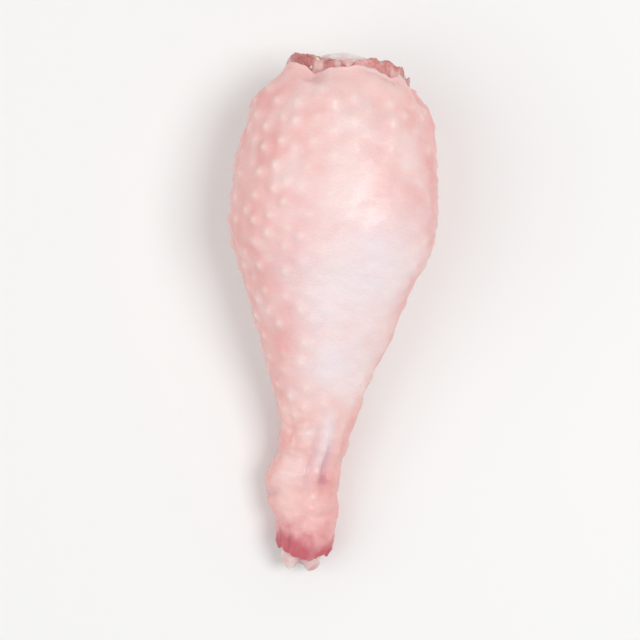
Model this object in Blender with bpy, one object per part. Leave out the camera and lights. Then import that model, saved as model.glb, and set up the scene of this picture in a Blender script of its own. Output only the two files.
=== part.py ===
"""A raw chicken drumstick: the meat in its skin, and the leg bone that runs through it.

Metres, +Z up. The drumstick lies on its side. Y runs from the ankle (-) to the knee (+), X is across, and
the flat spots under the calf and under the ankle knuckle rest on Z = 0. The origin is the middle of the
footprint.
"""

import math
import random

import bmesh
import bpy
from mathutils import Vector, noise

MM = 0.001

# Driving dimensions
LENGTH = 118 * MM
BODY_WIDTH = 46.5 * MM
BODY_DEPTH = 40.5 * MM
BONE_SHAFT = 7.0 * MM
GAP = 0.3 * MM

# How finely the solids are faceted
SKIN_AROUND = 64
SKIN_ROWS = 64
UNDERSIDE_SPREAD = 0.30
BONE_AROUND = 20
PROFILE_SAMPLES = 400
SHARP_ANGLE = math.radians(60)

# The skin's outline, read along the leg from the ankle tip, as shares of LENGTH, BODY_WIDTH and BODY_DEPTH.
# The last two columns are millimetres: how far the middle lies to the side, and how high the underside is.
SKIN_SECTIONS = (
    # along, width, depth, sideways, underside
    (0.042, 0.262, 0.265, 3.0, 0.6),
    (0.068, 0.285, 0.294, 3.2, -0.2),
    (0.097, 0.302, 0.318, 2.9, -0.9),
    (0.127, 0.328, 0.345, 2.1, -1.6),
    (0.161, 0.352, 0.372, 1.3, -1.8),
    (0.195, 0.344, 0.366, 1.4, -0.9),
    (0.241, 0.332, 0.352, 2.5, 0.9),
    (0.284, 0.355, 0.376, 2.9, 1.8),
    (0.322, 0.396, 0.414, 2.7, 2.0),
    (0.381, 0.481, 0.500, 2.1, 1.5),
    (0.479, 0.653, 0.680, 1.7, 0.1),
    (0.559, 0.792, 0.825, 0.8, -1.4),
    (0.627, 0.929, 0.940, 0.9, -2.2),
    (0.695, 0.983, 0.995, 1.2, -2.5),
    (0.780, 0.976, 0.978, 0.8, -2.3),
    (0.856, 0.899, 0.901, 0.4, -1.0),
    (0.907, 0.796, 0.795, 0.1, 0.8),
    (0.941, 0.667, 0.675, 0.0, 2.4),
)
SECTION_POWER = 2.15
TABLE_SOFTNESS = 1.2 * MM

# Muscles under the skin: where they swell, as share of LENGTH and degrees round from +X, and by how much
MUSCLE_SWELLS = (
    # along, angle, reach along (mm), reach round (degrees), swell (mm)
    (0.74, 205.0, 20.0, 42.0, 1.3),
    (0.62, 35.0, 17.0, 30.0, 0.9),
    (0.70, 95.0, 22.0, 24.0, -0.5),
    (0.44, 150.0, 12.0, 38.0, 0.6),
    (0.160, 180.0, 7.0, 50.0, 0.6),
    (0.150, 5.0, 8.0, 50.0, 0.4),
    (0.255, 62.0, 9.0, 16.0, -0.55),
    (0.245, 120.0, 8.0, 15.0, -0.35),
)
UNEVEN_BY = 0.35 * MM
UNEVEN_SPAN = 13 * MM

# Feather follicles: one raised point in every other row, staggered
FOLLICLE_HEIGHT = 0.42 * MM
FOLLICLE_ROW_STEP = 2
FOLLICLE_COLUMN_STEP = 4
FOLLICLE_SIZES = (0.55, 1.15)
FOLLICLE_FADE_IN = (0.31, 0.41)
FOLLICLE_FADE_OUT = (0.85, 0.93)
NARROW_GIRTH = 88 * MM
FOLLICLE_SEED = 11

# Where the skin is stretched over the calf and the follicles hardly stand out, in degrees round from +X
STRETCHED_AT = 55.0
STRETCHED_REACH = 50.0
STRETCHED_SHARE = 0.8

# Folds of loose skin across the knuckle
FOLD_HEIGHT = 0.28 * MM
FOLD_PITCH = 7.5 * MM
FOLD_MIDDLE, FOLD_REACH = 0.19, 12 * MM

# The oblique mouths: how much further one side of the skin reaches than the other, and how ragged its
# edge is
KNEE_LEAN = math.tan(math.radians(11))
KNEE_LEAN_SPAN = (0.72, 0.93)
ANKLE_LEAN = -0.24
ANKLE_LEAN_SPAN = (0.05, 0.11)
KNEE_RAGGED = 0.7 * MM
KNEE_RAGGED_TURNS = 3

# From the skin's edge inwards: share of the edge's radius, and how far out (mm)
ANKLE_MOUTH = ((0.95, 0.45), (0.88, 0.3), (0.84, -0.9), (0.5, -1.2))
KNEE_MOUTH = (
    (0.975, 0.45),
    (0.94, 0.4),
    (0.915, -1.1),
    (0.86, -0.6),
    (0.77, 1.1),
    (0.66, 2.1),
    (0.54, 2.4),
    (0.40, 2.2),
    (0.22, 2.2),
)
MEAT_LOBES = (28.0, 96.0, 158.0, 226.0, 300.0)
LOBE_CLEFT = 1.1 * MM
LOBE_CLEFT_REACH = 9.0
MEAT_SHARES = (0.8, 0.9)

# The bone, from the ankle tip: along as a share of its length, width and depth in shaft widths
BONE_SECTIONS = (
    # along, width, depth
    (0.000, 0.72, 0.62),
    (0.007, 1.06, 0.92),
    (0.019, 1.27, 1.10),
    (0.038, 1.34, 1.17),
    (0.062, 1.26, 1.09),
    (0.100, 1.09, 0.97),
    (0.155, 1.00, 0.91),
    (0.500, 1.00, 0.91),
    (0.740, 1.16, 1.05),
    (0.830, 1.60, 1.35),
    (0.892, 2.25, 1.80),
    (0.935, 2.80, 2.20),
    (0.960, 2.98, 2.36),
    (0.978, 2.86, 2.25),
    (0.990, 2.45, 1.90),
)
BONE_RINGS = 36
BONE_END_SPAN = 0.07
ANKLE_END = (0.012, 0.03)
ANKLE_GROOVE = 1.3 * MM
ANKLE_GROOVE_REACH = 1.7 * MM
ANKLE_GROOVE_ROUND = 0.45
KNEE_END = (0.93, 0.96)
KNEE_DISH = 1.0 * MM
KNEE_DISH_OFFSET = 5.2 * MM
KNEE_DISH_REACH = 3.6 * MM
KNEE_CAP_RISE = 1.2 * MM
ANKLE_CAP_RISE = 0.7 * MM
CAP_SHARES = (0.78, 0.52, 0.26)


def smooth_step(value, start, end):
    """0 before start and 1 after end, with a smooth rise between them."""
    share = min(1.0, max(0.0, (value - start) / (end - start)))
    return share * share * (3 - 2 * share)


def bell(distance, reach):
    """1 in the middle, and falling off smoothly at about the reach."""
    return math.exp(-((distance / reach) ** 2))


def read_sections(sections, along):
    """The columns of a table of sections at a place along the leg, on a smooth curve through its rows."""
    last = len(sections) - 1
    after = next((i for i, row in enumerate(sections) if row[0] > along), last)
    i = min(max(after - 1, 0), last - 1)
    before, start, end, beyond = (sections[min(max(j, 0), last)] for j in (i - 1, i, i + 1, i + 2))
    span = end[0] - start[0]
    t = min(1.0, max(0.0, (along - start[0]) / span))
    columns = []
    for p0, p1, p2, p3 in zip(before[1:], start[1:], end[1:], beyond[1:]):
        rise_in = (p2 - p0) * span / (end[0] - before[0])
        rise_out = (p3 - p1) * span / (beyond[0] - start[0])
        hermite = (
            p1 * (2 * t**3 - 3 * t**2 + 1)
            + rise_in * (t**3 - 2 * t**2 + t)
            + p2 * (-2 * t**3 + 3 * t**2)
            + rise_out * (t**3 - t**2)
        )
        columns.append(hermite)
    return columns


def leg_middle(along):
    """The middle of the leg's section at a place along it, from the ankle tip's own X and the table's Z."""
    _, depth, sideways, underside = read_sections(SKIN_SECTIONS, along)
    return Vector((sideways * MM, along * LENGTH, depth * BODY_DEPTH / 2 + underside * MM))


def on_table(height):
    """Raw meat settles: what would reach below the table lies flat on it, with a soft edge."""
    if height <= -TABLE_SOFTNESS:
        return 0.0
    if height >= TABLE_SOFTNESS:
        return height
    return (height + TABLE_SOFTNESS) ** 2 / (4 * TABLE_SOFTNESS)


def lean(point, middle, along):
    """Moves a point along the leg where the skin's mouths are cut obliquely."""
    knee = KNEE_LEAN * smooth_step(along, *KNEE_LEAN_SPAN)
    ankle = ANKLE_LEAN * (1 - smooth_step(along, *ANKLE_LEAN_SPAN))
    return knee * (point.z - middle.z) + ankle * (point.x - middle.x)


def superellipse(angle):
    """The direction and share of a rounded section at an angle round from +X."""
    c, s = math.cos(angle), math.sin(angle)
    power = 2 / SECTION_POWER
    return math.copysign(abs(c) ** power, c), math.copysign(abs(s) ** power, s)


def swell(along, angle):
    """How far the muscles push the skin out."""
    total = 0.0
    for place, round_to, reach_along, reach_round, height in MUSCLE_SWELLS:
        turn = (math.degrees(angle) - round_to + 180) % 360 - 180
        total += height * MM * bell((along - place) * LENGTH, reach_along * MM) * bell(turn, reach_round)
    return total


def fold(along):
    """The loose skin's folds across the knuckle."""
    distance = (along - FOLD_MIDDLE) * LENGTH
    return FOLD_HEIGHT * math.cos(2 * math.pi * distance / FOLD_PITCH) * bell(distance, FOLD_REACH)


def skin_point(along, angle, raised=0.0):
    """A point of the skin's outer surface before it settles on the table."""
    width, depth, _, _ = read_sections(SKIN_SECTIONS, along)
    across, up = superellipse(angle)
    middle = leg_middle(along)
    point = middle + Vector((across * width * BODY_WIDTH / 2, 0, up * depth * BODY_DEPTH / 2))
    outward = Vector((math.cos(angle), 0, math.sin(angle)))
    uneven = UNEVEN_BY * noise.noise(point / UNEVEN_SPAN)
    point += outward * (swell(along, angle) + fold(along) + uneven + raised)
    point.y += lean(point, middle, along)
    ragged = KNEE_RAGGED * math.sin(KNEE_RAGGED_TURNS * angle + math.cos(angle))
    point.y += ragged * smooth_step(along, *KNEE_LEAN_SPAN)
    return point


def even_rows(start, end, count):
    """Places along the leg that lie evenly on the skin's own outline."""
    samples = [start + (end - start) * i / PROFILE_SAMPLES for i in range(PROFILE_SAMPLES + 1)]
    run = [0.0]
    for a, b in zip(samples, samples[1:]):
        rise = (read_sections(SKIN_SECTIONS, b)[0] - read_sections(SKIN_SECTIONS, a)[0]) * BODY_WIDTH / 2
        run.append(run[-1] + math.hypot((b - a) * LENGTH, rise))
    rows = []
    for k in range(count):
        target = run[-1] * k / (count - 1)
        i = next((j for j, length in enumerate(run) if length >= target), len(run) - 1)
        rows.append(samples[i])
    return rows


def angle_of(column, count):
    """The angle of a column of points round the leg, from the underside, where they lie further apart."""
    turn = 2 * math.pi * column / count
    return turn + UNDERSIDE_SPREAD * math.sin(turn) - math.pi / 2


def follicle(row, column, along, rng):
    """The height of a feather follicle at a grid point, or 0 where there is none."""
    girth = math.pi * read_sections(SKIN_SECTIONS, along)[0] * BODY_WIDTH
    step = FOLLICLE_COLUMN_STEP if girth > NARROW_GIRTH else FOLLICLE_COLUMN_STEP * 2
    stagger = (row // FOLLICLE_ROW_STEP) % 2 * step // 2
    turn = (math.degrees(angle_of(column, SKIN_AROUND)) - STRETCHED_AT + 180) % 360 - 180
    height = FOLLICLE_HEIGHT * rng.uniform(*FOLLICLE_SIZES)
    height *= 1 - STRETCHED_SHARE * bell(turn, STRETCHED_REACH)
    if row % FOLLICLE_ROW_STEP or (column + stagger) % step:
        return 0.0
    return height * smooth_step(along, *FOLLICLE_FADE_IN) * (1 - smooth_step(along, *FOLLICLE_FADE_OUT))


def skin_rings():
    """The rings of the skin's outer surface, from the ankle's edge to the knee's."""
    rng = random.Random(FOLLICLE_SEED)
    rings = []
    for row, along in enumerate(even_rows(SKIN_SECTIONS[0][0], SKIN_SECTIONS[-1][0], SKIN_ROWS)):
        ring = []
        for column in range(SKIN_AROUND):
            height = follicle(row, column, along, rng)
            ring.append(skin_point(along, angle_of(column, SKIN_AROUND), height))
        rings.append(ring)
    return rings


def mouth_rings(edge, shares, outward, cleft=0.0):
    """The rings from an edge of the skin inwards, over its rolled lip and across the meat."""
    middle = sum(edge, Vector()) / len(edge)
    rings = []
    for share, height in shares:
        ring = []
        for column, point in enumerate(edge):
            degrees = math.degrees(angle_of(column, len(edge)))
            nearest = min(abs((degrees - lobe + 180) % 360 - 180) for lobe in MEAT_LOBES)
            depth = cleft * bell(nearest, LOBE_CLEFT_REACH) * (1 - smooth_step(share, *MEAT_SHARES))
            inner = middle.lerp(point, share)
            inner.y += outward * (height * MM - depth)
            ring.append(inner)
        rings.append(ring)
    return rings


def loft(name, rings, even_row=0):
    """A closed solid through rings of points, each extruded from the one before, with a fan at each end.

    The quads are split so that the cuts meet at every other point, which keeps a raised point round.
    """
    count = len(rings[0])
    bm = bmesh.new()
    first = bmesh.ops.create_circle(bm, segments=count, radius=1.0)["verts"]
    for vertex, point in zip(first, rings[0]):
        vertex.co = point
    last = first
    for row, ring in enumerate(rings[1:], 1):
        edges = [bm.edges.get((last[i - 1], last[i])) for i in range(count)]
        made = bmesh.ops.extrude_edge_only(bm, edges=edges)["geom"]
        new = {v for v in made if isinstance(v, bmesh.types.BMVert)}
        ordered = [next(e.other_vert(v) for e in v.link_edges if e.other_vert(v) in new) for v in last]
        for vertex, point in zip(ordered, ring):
            vertex.co = point
        for i in range(count):
            ends = (last[i - 1], ordered[i]) if (row + i) % 2 == even_row else (last[i], ordered[i - 1])
            bmesh.ops.connect_verts(bm, verts=ends)
        last = ordered
    for end in (first, last):
        pole = bm.verts.new(sum((v.co for v in end), Vector()) / count)
        for i in range(count):
            bm.faces.new((end[i - 1], end[i], pole))
    bmesh.ops.recalc_face_normals(bm, faces=bm.faces)
    mesh = bpy.data.meshes.new(name)
    bm.to_mesh(mesh)
    bm.free()
    mesh.shade_smooth()
    mesh.set_sharp_from_angle(angle=SHARP_ANGLE)
    obj = bpy.data.objects.new(name, mesh)
    bpy.context.scene.collection.objects.link(obj)
    return obj


def bone_ring(along, grow, share=1.0, rise=0.0):
    """One ring of the bone, made wider by grow; share shrinks it towards the middle of an end."""
    width, depth = (value * BONE_SHAFT / 2 + grow for value in read_sections(BONE_SECTIONS, along))
    middle = leg_middle(along)
    ring = []
    for column in range(BONE_AROUND):
        angle = angle_of(column, BONE_AROUND)
        point = middle + Vector((math.cos(angle) * width * share, 0, math.sin(angle) * depth * share))
        side = point.x - middle.x
        knee = smooth_step(along, *KNEE_END)
        dish = sum(bell(side - s * KNEE_DISH_OFFSET, KNEE_DISH_REACH) for s in (-1, 1)) * (1 - share)
        ankle = 1 - smooth_step(along, *ANKLE_END)
        groove = ankle * ANKLE_GROOVE * bell(side, ANKLE_GROOVE_REACH)
        point.y += lean(point, middle, along) * knee + rise - knee * dish * KNEE_DISH + groove
        if share == 1.0:
            point.z -= math.copysign(groove * ANKLE_GROOVE_ROUND, math.sin(angle))
        ring.append(point)
    return ring


def bone(name, grow=0.0):
    """The leg bone with a cartilage knuckle at each end, or that shape made larger by grow."""
    first, last = BONE_SECTIONS[0][0], BONE_SECTIONS[-1][0]
    rings = [
        bone_ring(first, grow, share, -ANKLE_CAP_RISE * (1 - share) - grow)
        for share in reversed(CAP_SHARES)
    ]
    for i in range(BONE_RINGS + 1):
        share = i / BONE_RINGS
        eased = 0.5 - 0.5 * math.cos(math.pi * share)
        along = first + (last - first) * eased
        at_ankle = 1 - smooth_step(share, 0.0, BONE_END_SPAN)
        at_knee = smooth_step(share, 1 - BONE_END_SPAN, 1.0)
        end = grow * (at_knee - at_ankle)
        rings.append(bone_ring(along, grow, 1.0, end))
    rings += [bone_ring(last, grow, share, KNEE_CAP_RISE * (1 - share) + grow) for share in CAP_SHARES]
    return loft(name, rings)


def meat_and_skin(cutter):
    """The meat in its skin, with the bone's own space cut out of it."""
    rings = skin_rings()
    ankle = mouth_rings(rings[0], ANKLE_MOUTH, -1)
    knee = mouth_rings(rings[-1], KNEE_MOUTH, 1, LOBE_CLEFT)
    everything = list(reversed(ankle)) + rings + knee
    for ring in everything:
        for point in ring:
            point.z = on_table(point.z)
    obj = loft("meat_and_skin", everything, len(ankle) % 2)
    cut = obj.modifiers.new("bone space", "BOOLEAN")
    cut.operation = "DIFFERENCE"
    cut.solver = "EXACT"
    cut.object = cutter
    return obj


def material(name, colour, roughness):
    """A plain finish with the real thing's colour and gloss."""
    made = bpy.data.materials.new(name)
    made.use_nodes = True
    shader = made.node_tree.nodes["Principled BSDF"]
    shader.inputs["Base Color"].default_value = (*colour, 1.0)
    shader.inputs["Roughness"].default_value = roughness
    shader.inputs["Metallic"].default_value = 0.0
    made.diffuse_color = (*colour, 1.0)
    return made


def set_down(objects):
    """Puts the pieces on an empty whose origin is the middle of the footprint."""
    points = [vertex.co for obj in objects for vertex in obj.data.vertices]
    low = Vector(min(p[axis] for p in points) for axis in range(3))
    high = Vector(max(p[axis] for p in points) for axis in range(3))
    root = bpy.data.objects.new("drumstick", None)
    bpy.context.scene.collection.objects.link(root)
    for obj in objects:
        obj.parent = root
        obj.location = (-(low.x + high.x) / 2, -(low.y + high.y) / 2, -low.z)
    return root


def main():
    for obj in list(bpy.data.objects):
        bpy.data.objects.remove(obj)
    cutter = bone("bone_space", GAP)
    cutter.hide_render = True
    cutter.display_type = "WIRE"
    meat = meat_and_skin(cutter)
    meat.data.materials.append(material("raw chicken skin", (0.86, 0.62, 0.58), 0.42))
    leg_bone = bone("leg_bone")
    leg_bone.data.materials.append(material("cartilage and bone", (0.88, 0.78, 0.74), 0.30))
    root = set_down([meat, leg_bone])
    cutter.parent = root
    cutter.location = meat.location


main()
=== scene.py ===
"""Dresses the raw chicken drumstick: pimpled skin, wet bone ends, muscle, fat and tendons, softly lit.

Metres, +Z up. Y runs along the leg from the ankle (-) to the knee (+), X is across, and the drumstick
lies on Z = 0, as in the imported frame.
"""

import logging
import math
import random
from dataclasses import dataclass
from enum import Enum
from typing import Any, Callable, ClassVar, Sequence

import bpy
import numpy as np
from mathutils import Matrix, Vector, kdtree, noise
from mathutils.bvhtree import BVHTree


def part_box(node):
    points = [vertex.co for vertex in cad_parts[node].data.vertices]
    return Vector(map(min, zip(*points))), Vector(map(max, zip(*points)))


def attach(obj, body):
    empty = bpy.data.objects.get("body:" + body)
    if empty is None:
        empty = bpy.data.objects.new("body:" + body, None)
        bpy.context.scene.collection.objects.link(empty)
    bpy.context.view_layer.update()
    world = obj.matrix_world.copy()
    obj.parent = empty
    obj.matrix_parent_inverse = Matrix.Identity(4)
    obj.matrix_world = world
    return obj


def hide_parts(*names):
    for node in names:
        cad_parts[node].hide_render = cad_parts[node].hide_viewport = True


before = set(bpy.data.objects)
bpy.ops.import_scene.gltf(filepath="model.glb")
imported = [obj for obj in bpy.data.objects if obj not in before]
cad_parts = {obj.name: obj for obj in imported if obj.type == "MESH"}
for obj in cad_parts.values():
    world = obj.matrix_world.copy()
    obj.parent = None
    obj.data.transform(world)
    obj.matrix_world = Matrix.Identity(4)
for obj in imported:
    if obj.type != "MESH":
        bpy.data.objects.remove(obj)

MM = 0.001
TINY = 1e-6
HALFWAY = 0.5
FACING_Y = (math.pi / 2, 0, 0)
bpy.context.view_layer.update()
log = logging.getLogger("drumstick")

Colour = tuple[float, float, float]
Span = tuple[float, float]
# strength, size in mm (the same all ways or one for each axis) and how far the pattern is moved
CloudLayer = tuple[float, float | tuple[float, float, float], float]


class Solid(Enum):
    """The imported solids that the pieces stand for."""

    MEAT = "meat_and_skin"
    BONE = "leg_bone"


class Slot(Enum):
    """The record's material slots."""

    SKIN = "raw_skin"
    CARTILAGE = "cartilage"


class Mask(Enum):
    """What is painted on the vertices, for the finishes to read."""

    # cream pimples and fat, with a painted highlight on the pimples' tips
    FOLLICLE = "follicle_cream_and_highlight"
    # painted shade in the skin's creases, and the meat's dark fibres
    CREASE = "crease_shade_and_fibre"
    # pink flesh under the skin, and painted shade at its edges, on its flanks and on the upper calf
    BLUSH = "blush_and_shade"
    ROSY = "rosy"
    # veins, and painted shade in the grooves beside them and in a knuckle fold
    VEIN = "vein_and_shade"
    # bluish and whitish tints, and a bluish painted highlight across the calf
    COOL = "cool_and_highlight"


def bell(distance: np.ndarray, reach: float) -> np.ndarray:
    """1 in the middle, and falling off smoothly at about the reach."""
    return np.exp(-((distance / reach) ** 2))


def smooth_step(value: np.ndarray, start: float, end: float) -> np.ndarray:
    """0 before start and 1 after end, with a smooth rise between them."""
    share = np.clip((value - start) / (end - start), 0.0, 1.0)
    return share * share * (3 - 2 * share)


def ramp(along: np.ndarray, start: float, full: float) -> np.ndarray:
    """0 before start and 1 from full on, towards the knee or, if full is the smaller, the ankle."""
    towards = 1 if full > start else -1
    return smooth_step(towards * along, towards * start, towards * full)


def outwards(along: np.ndarray) -> np.ndarray:
    """The direction along Y out of the nearer end: +1 at the knee and -1 at the ankle."""
    return np.where(along > HALFWAY, 1.0, -1.0)


def turn_between(angle: np.ndarray, degrees: float | np.ndarray) -> np.ndarray:
    """How far an angle lies from a direction, in degrees from -180 to 180."""
    return (np.degrees(angle) - degrees + 180) % 360 - 180


def around(angle: np.ndarray, degrees: float | np.ndarray, spread: float) -> np.ndarray:
    """1 in a direction round the leg, falling off smoothly over the spread, both in degrees."""
    return bell(turn_between(angle, degrees), spread)


def plateau(angle: np.ndarray, degrees: float, spread: float) -> np.ndarray:
    """As around, but flatter in the middle and steeper at the sides."""
    return bell(turn_between(angle, degrees) ** 2, spread**2)


def cloud(points: np.ndarray, size: float | Sequence[float], shift: float = 0.0) -> np.ndarray:
    """Soft random values from about -0.5 to 0.5.

    Args:
        points: places, one row each.
        size: how large the clouds are, in metres, the same all ways or one value for each axis.
        shift: moves the pattern, so that two layers don't repeat each other.

    Returns:
        One value for each place.
    """
    scaled = points / np.asarray(size) + shift
    return np.fromiter((noise.noise(p) for p in scaled.tolist()), float, len(points))


def clouds(points: np.ndarray, layers: Sequence[CloudLayer]) -> np.ndarray:
    """Adds up layers of soft random values.

    Args:
        points: places, one row each.
        layers: each layer's strength, its size in mm and how far its pattern is moved.

    Returns:
        One value for each place.
    """
    return sum(strength * cloud(points, np.multiply(size, MM), shift) for strength, size, shift in layers)


class SmoothTable:
    """Columns of numbers, read on a smooth curve through a table's rows."""

    def __init__(self, rows: Sequence[Sequence[float]]) -> None:
        """Keeps the rows, whose first column says where each one lies."""
        self.rows = np.array(rows, float)

    def at(self, places: np.ndarray) -> np.ndarray:
        """Reads every column but the first.

        Args:
            places: where to read, in the units of the first column.

        Returns:
            One row for each column, so that it unpacks into them.
        """
        rows, last = self.rows, len(self.rows) - 1
        start = np.clip(np.searchsorted(rows[:, 0], places, side="right") - 1, 0, last - 1)
        p0, p1, p2, p3 = (rows[np.clip(start + step, 0, last)] for step in (-1, 0, 1, 2))
        span = p2[:, 0] - p1[:, 0]
        t = np.clip((places - p1[:, 0]) / span, 0.0, 1.0)[:, None]
        rise_in = (p2 - p0)[:, 1:] * (span / (p2 - p0)[:, 0])[:, None]
        rise_out = (p3 - p1)[:, 1:] * (span / (p3 - p1)[:, 0])[:, None]
        value = (
            p1[:, 1:] * (2 * t**3 - 3 * t**2 + 1)
            + rise_in * (t**3 - 2 * t**2 + t)
            + p2[:, 1:] * (3 * t**2 - 2 * t**3)
            + rise_out * (t**3 - t**2)
        )
        return value.T


@dataclass(frozen=True)
class Swell:
    """A muscle that pushes the skin out, or a hollow that draws it in."""

    along: float
    degrees: float
    reach_along: float
    reach_round: float
    height: float

    def at(self, along: np.ndarray, angle: np.ndarray, length: float) -> np.ndarray:
        """How far the skin is pushed out at each place, in metres."""
        lengthways = bell((along - self.along) * length, self.reach_along)
        return self.height * lengthways * around(angle, self.degrees, self.reach_round)


@dataclass(frozen=True)
class Zone:
    """A soft-edged zone of the skin and its weight. With no place given it reaches all round and along."""

    weight: float
    degrees: float = 0.0
    spread: float = math.inf
    start: float = -1.0
    full: float = 0.0

    def at(self, along: np.ndarray, angle: np.ndarray) -> np.ndarray:
        """How much the zone counts at each place."""
        return self.weight * around(angle, self.degrees, self.spread) * ramp(along, self.start, self.full)


@dataclass(frozen=True)
class LegForm:
    """The drumstick's outer form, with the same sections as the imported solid."""

    length: float = 118 * MM
    width: float = 46.5 * MM
    depth: float = 40.5 * MM
    roundness: float = 2.15
    table_softness: float = 1.2 * MM
    uneven_by: float = 0.35 * MM
    uneven_span: float = 13 * MM
    fold_height: float = 0.28 * MM
    fold_pitch: float = 7.5 * MM
    fold_middle: float = 0.19
    fold_reach: float = 12 * MM
    knee_lean: float = math.tan(math.radians(11))
    knee_lean_span: Span = (0.72, 0.93)
    ankle_lean: float = -0.24
    ankle_lean_span: Span = (0.11, 0.05)
    knee_ragged: float = 0.7 * MM
    shift: Span = (0.0, 0.0)

    ankle_edge: ClassVar[float] = 0.042
    knee_edge: ClassVar[float] = 0.941
    fitting_steps: ClassVar[int] = 120
    sections: ClassVar[SmoothTable] = SmoothTable(
        (
            # along, width, depth (shares of the leg's), sideways, underside (mm)
            (0.042, 0.262, 0.265, 3.0, 0.6),
            (0.068, 0.285, 0.294, 3.2, -0.2),
            (0.097, 0.302, 0.318, 2.9, -0.9),
            (0.127, 0.328, 0.345, 2.1, -1.6),
            (0.161, 0.352, 0.372, 1.3, -1.8),
            (0.195, 0.344, 0.366, 1.4, -0.9),
            (0.241, 0.332, 0.352, 2.5, 0.9),
            (0.284, 0.355, 0.376, 2.9, 1.8),
            (0.322, 0.396, 0.414, 2.7, 2.0),
            (0.381, 0.481, 0.500, 2.1, 1.5),
            (0.479, 0.653, 0.680, 1.7, 0.1),
            (0.559, 0.792, 0.825, 0.8, -1.4),
            (0.627, 0.929, 0.940, 0.9, -2.2),
            (0.695, 0.983, 0.995, 1.2, -2.5),
            (0.780, 0.976, 0.978, 0.8, -2.3),
            (0.856, 0.899, 0.901, 0.4, -1.0),
            (0.907, 0.796, 0.795, 0.1, 0.8),
            (0.941, 0.667, 0.675, 0.0, 2.4),
        )
    )
    swells: ClassVar[tuple[Swell, ...]] = (
        Swell(0.74, 205, 20 * MM, 42, 1.3 * MM),
        Swell(0.62, 35, 17 * MM, 30, 0.9 * MM),
        Swell(0.70, 95, 22 * MM, 24, -0.5 * MM),
        Swell(0.44, 150, 12 * MM, 38, 0.6 * MM),
        Swell(0.160, 180, 7 * MM, 50, 0.6 * MM),
        Swell(0.150, 5, 8 * MM, 50, 0.4 * MM),
        Swell(0.255, 62, 9 * MM, 16, -0.55 * MM),
        Swell(0.245, 120, 8 * MM, 15, -0.35 * MM),
    )

    def middle(self, along: np.ndarray) -> np.ndarray:
        """The middle of the leg's section at each place, one row each."""
        _, depth, sideways, underside = self.sections.at(along)
        x = sideways * MM + self.shift[0]
        y = along * self.length + self.shift[1]
        return np.stack((x, y, depth * self.depth / 2 + underside * MM), axis=1)

    def radius(self, along: np.ndarray) -> np.ndarray:
        """The skin's mean radius at each place."""
        width, depth, _, _ = self.sections.at(along)
        return (width * self.width + depth * self.depth) / 4

    def lean(self, offset: np.ndarray, along: np.ndarray) -> np.ndarray:
        """How far a point moves along the leg because the mouths are cut obliquely."""
        knee = self.knee_lean * ramp(along, *self.knee_lean_span)
        ankle = self.ankle_lean * ramp(along, *self.ankle_lean_span)
        return knee * offset[:, 2] + ankle * offset[:, 0]

    def surface(self, along: np.ndarray, angle: np.ndarray, raised: Any = 0.0) -> np.ndarray:
        """Points of the skin's outer surface, before they settle on the table.

        Args:
            along: places along the leg, as shares of its length.
            angle: radians round from +X.
            raised: how far each point stands out beyond the plain form, in metres.

        Returns:
            One row for each point.
        """
        width, depth, _, _ = self.sections.at(along)
        c, s = np.cos(angle), np.sin(angle)
        power = 2 / self.roundness
        across = np.sign(c) * np.abs(c) ** power * width * self.width / 2
        up = np.sign(s) * np.abs(s) ** power * depth * self.depth / 2
        middle = self.middle(along)
        points = middle + np.stack((across, np.zeros_like(across), up), axis=1)
        unshifted = points - np.array((*self.shift, 0.0))
        distance = (along - self.fold_middle) * self.length
        wave = np.cos(2 * math.pi * distance / self.fold_pitch)
        fold = self.fold_height * wave * bell(distance, self.fold_reach)
        out = sum(swell.at(along, angle, self.length) for swell in self.swells) + fold + raised
        out = out + self.uneven_by * cloud(unshifted, self.uneven_span)
        points += np.stack((c, np.zeros_like(c), s), axis=1) * out[:, None]
        points[:, 1] += self.lean(points - middle, along)
        ragged = self.knee_ragged * np.sin(3 * angle + np.cos(angle))
        points[:, 1] += ragged * ramp(along, *self.knee_lean_span)
        return points

    def settle(self, points: np.ndarray) -> np.ndarray:
        """Lays flat on the table what would reach below it, with a soft edge."""
        soft, z = self.table_softness, points[:, 2]
        eased = (np.clip(z, -soft, soft) + soft) ** 2 / (4 * soft)
        points[:, 2] = np.where(z > soft, z, eased)
        return points

    def keep_inside(self, points: np.ndarray, share: float) -> np.ndarray:
        """Draws in what would reach out through the skin.

        Args:
            points: points of the flesh, one row each.
            share: how far out they may lie, as a share of the skin's radius.

        Returns:
            The same rows, moved where they lay too far out.
        """
        along = (points[:, 1] - self.shift[1]) / self.length
        for _ in range(2):
            middle = self.middle(np.clip(along, self.ankle_edge, self.knee_edge))
            offset = points - middle
            along = (points[:, 1] - self.shift[1] - self.lean(offset, along)) / self.length
        width, depth, _, _ = self.sections.at(np.clip(along, self.ankle_edge, self.knee_edge))
        reach = np.hypot(offset[:, 0] / (width * self.width / 2), offset[:, 2] / (depth * self.depth / 2))
        kept = np.minimum(1.0, share / np.maximum(reach, TINY))
        points[:, 0] = middle[:, 0] + offset[:, 0] * kept
        points[:, 2] = middle[:, 2] + offset[:, 2] * kept
        return points

    @classmethod
    def fitted(cls, low: Vector, high: Vector) -> "LegForm":
        """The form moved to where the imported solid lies.

        Args:
            low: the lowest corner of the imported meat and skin.
            high: its highest corner.

        Returns:
            The form, with its shift set.
        """
        places = np.linspace(cls.ankle_edge, cls.knee_edge, cls.fitting_steps)
        turns = np.linspace(0, 2 * math.pi, cls.fitting_steps)
        along, angle = np.meshgrid(places, turns)
        points = cls().surface(along.ravel(), angle.ravel())
        middle = (points.min(axis=0) + points.max(axis=0)) / 2
        return cls(shift=((low.x + high.x) / 2 - middle[0], (low.y + high.y) / 2 - middle[1]))


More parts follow.
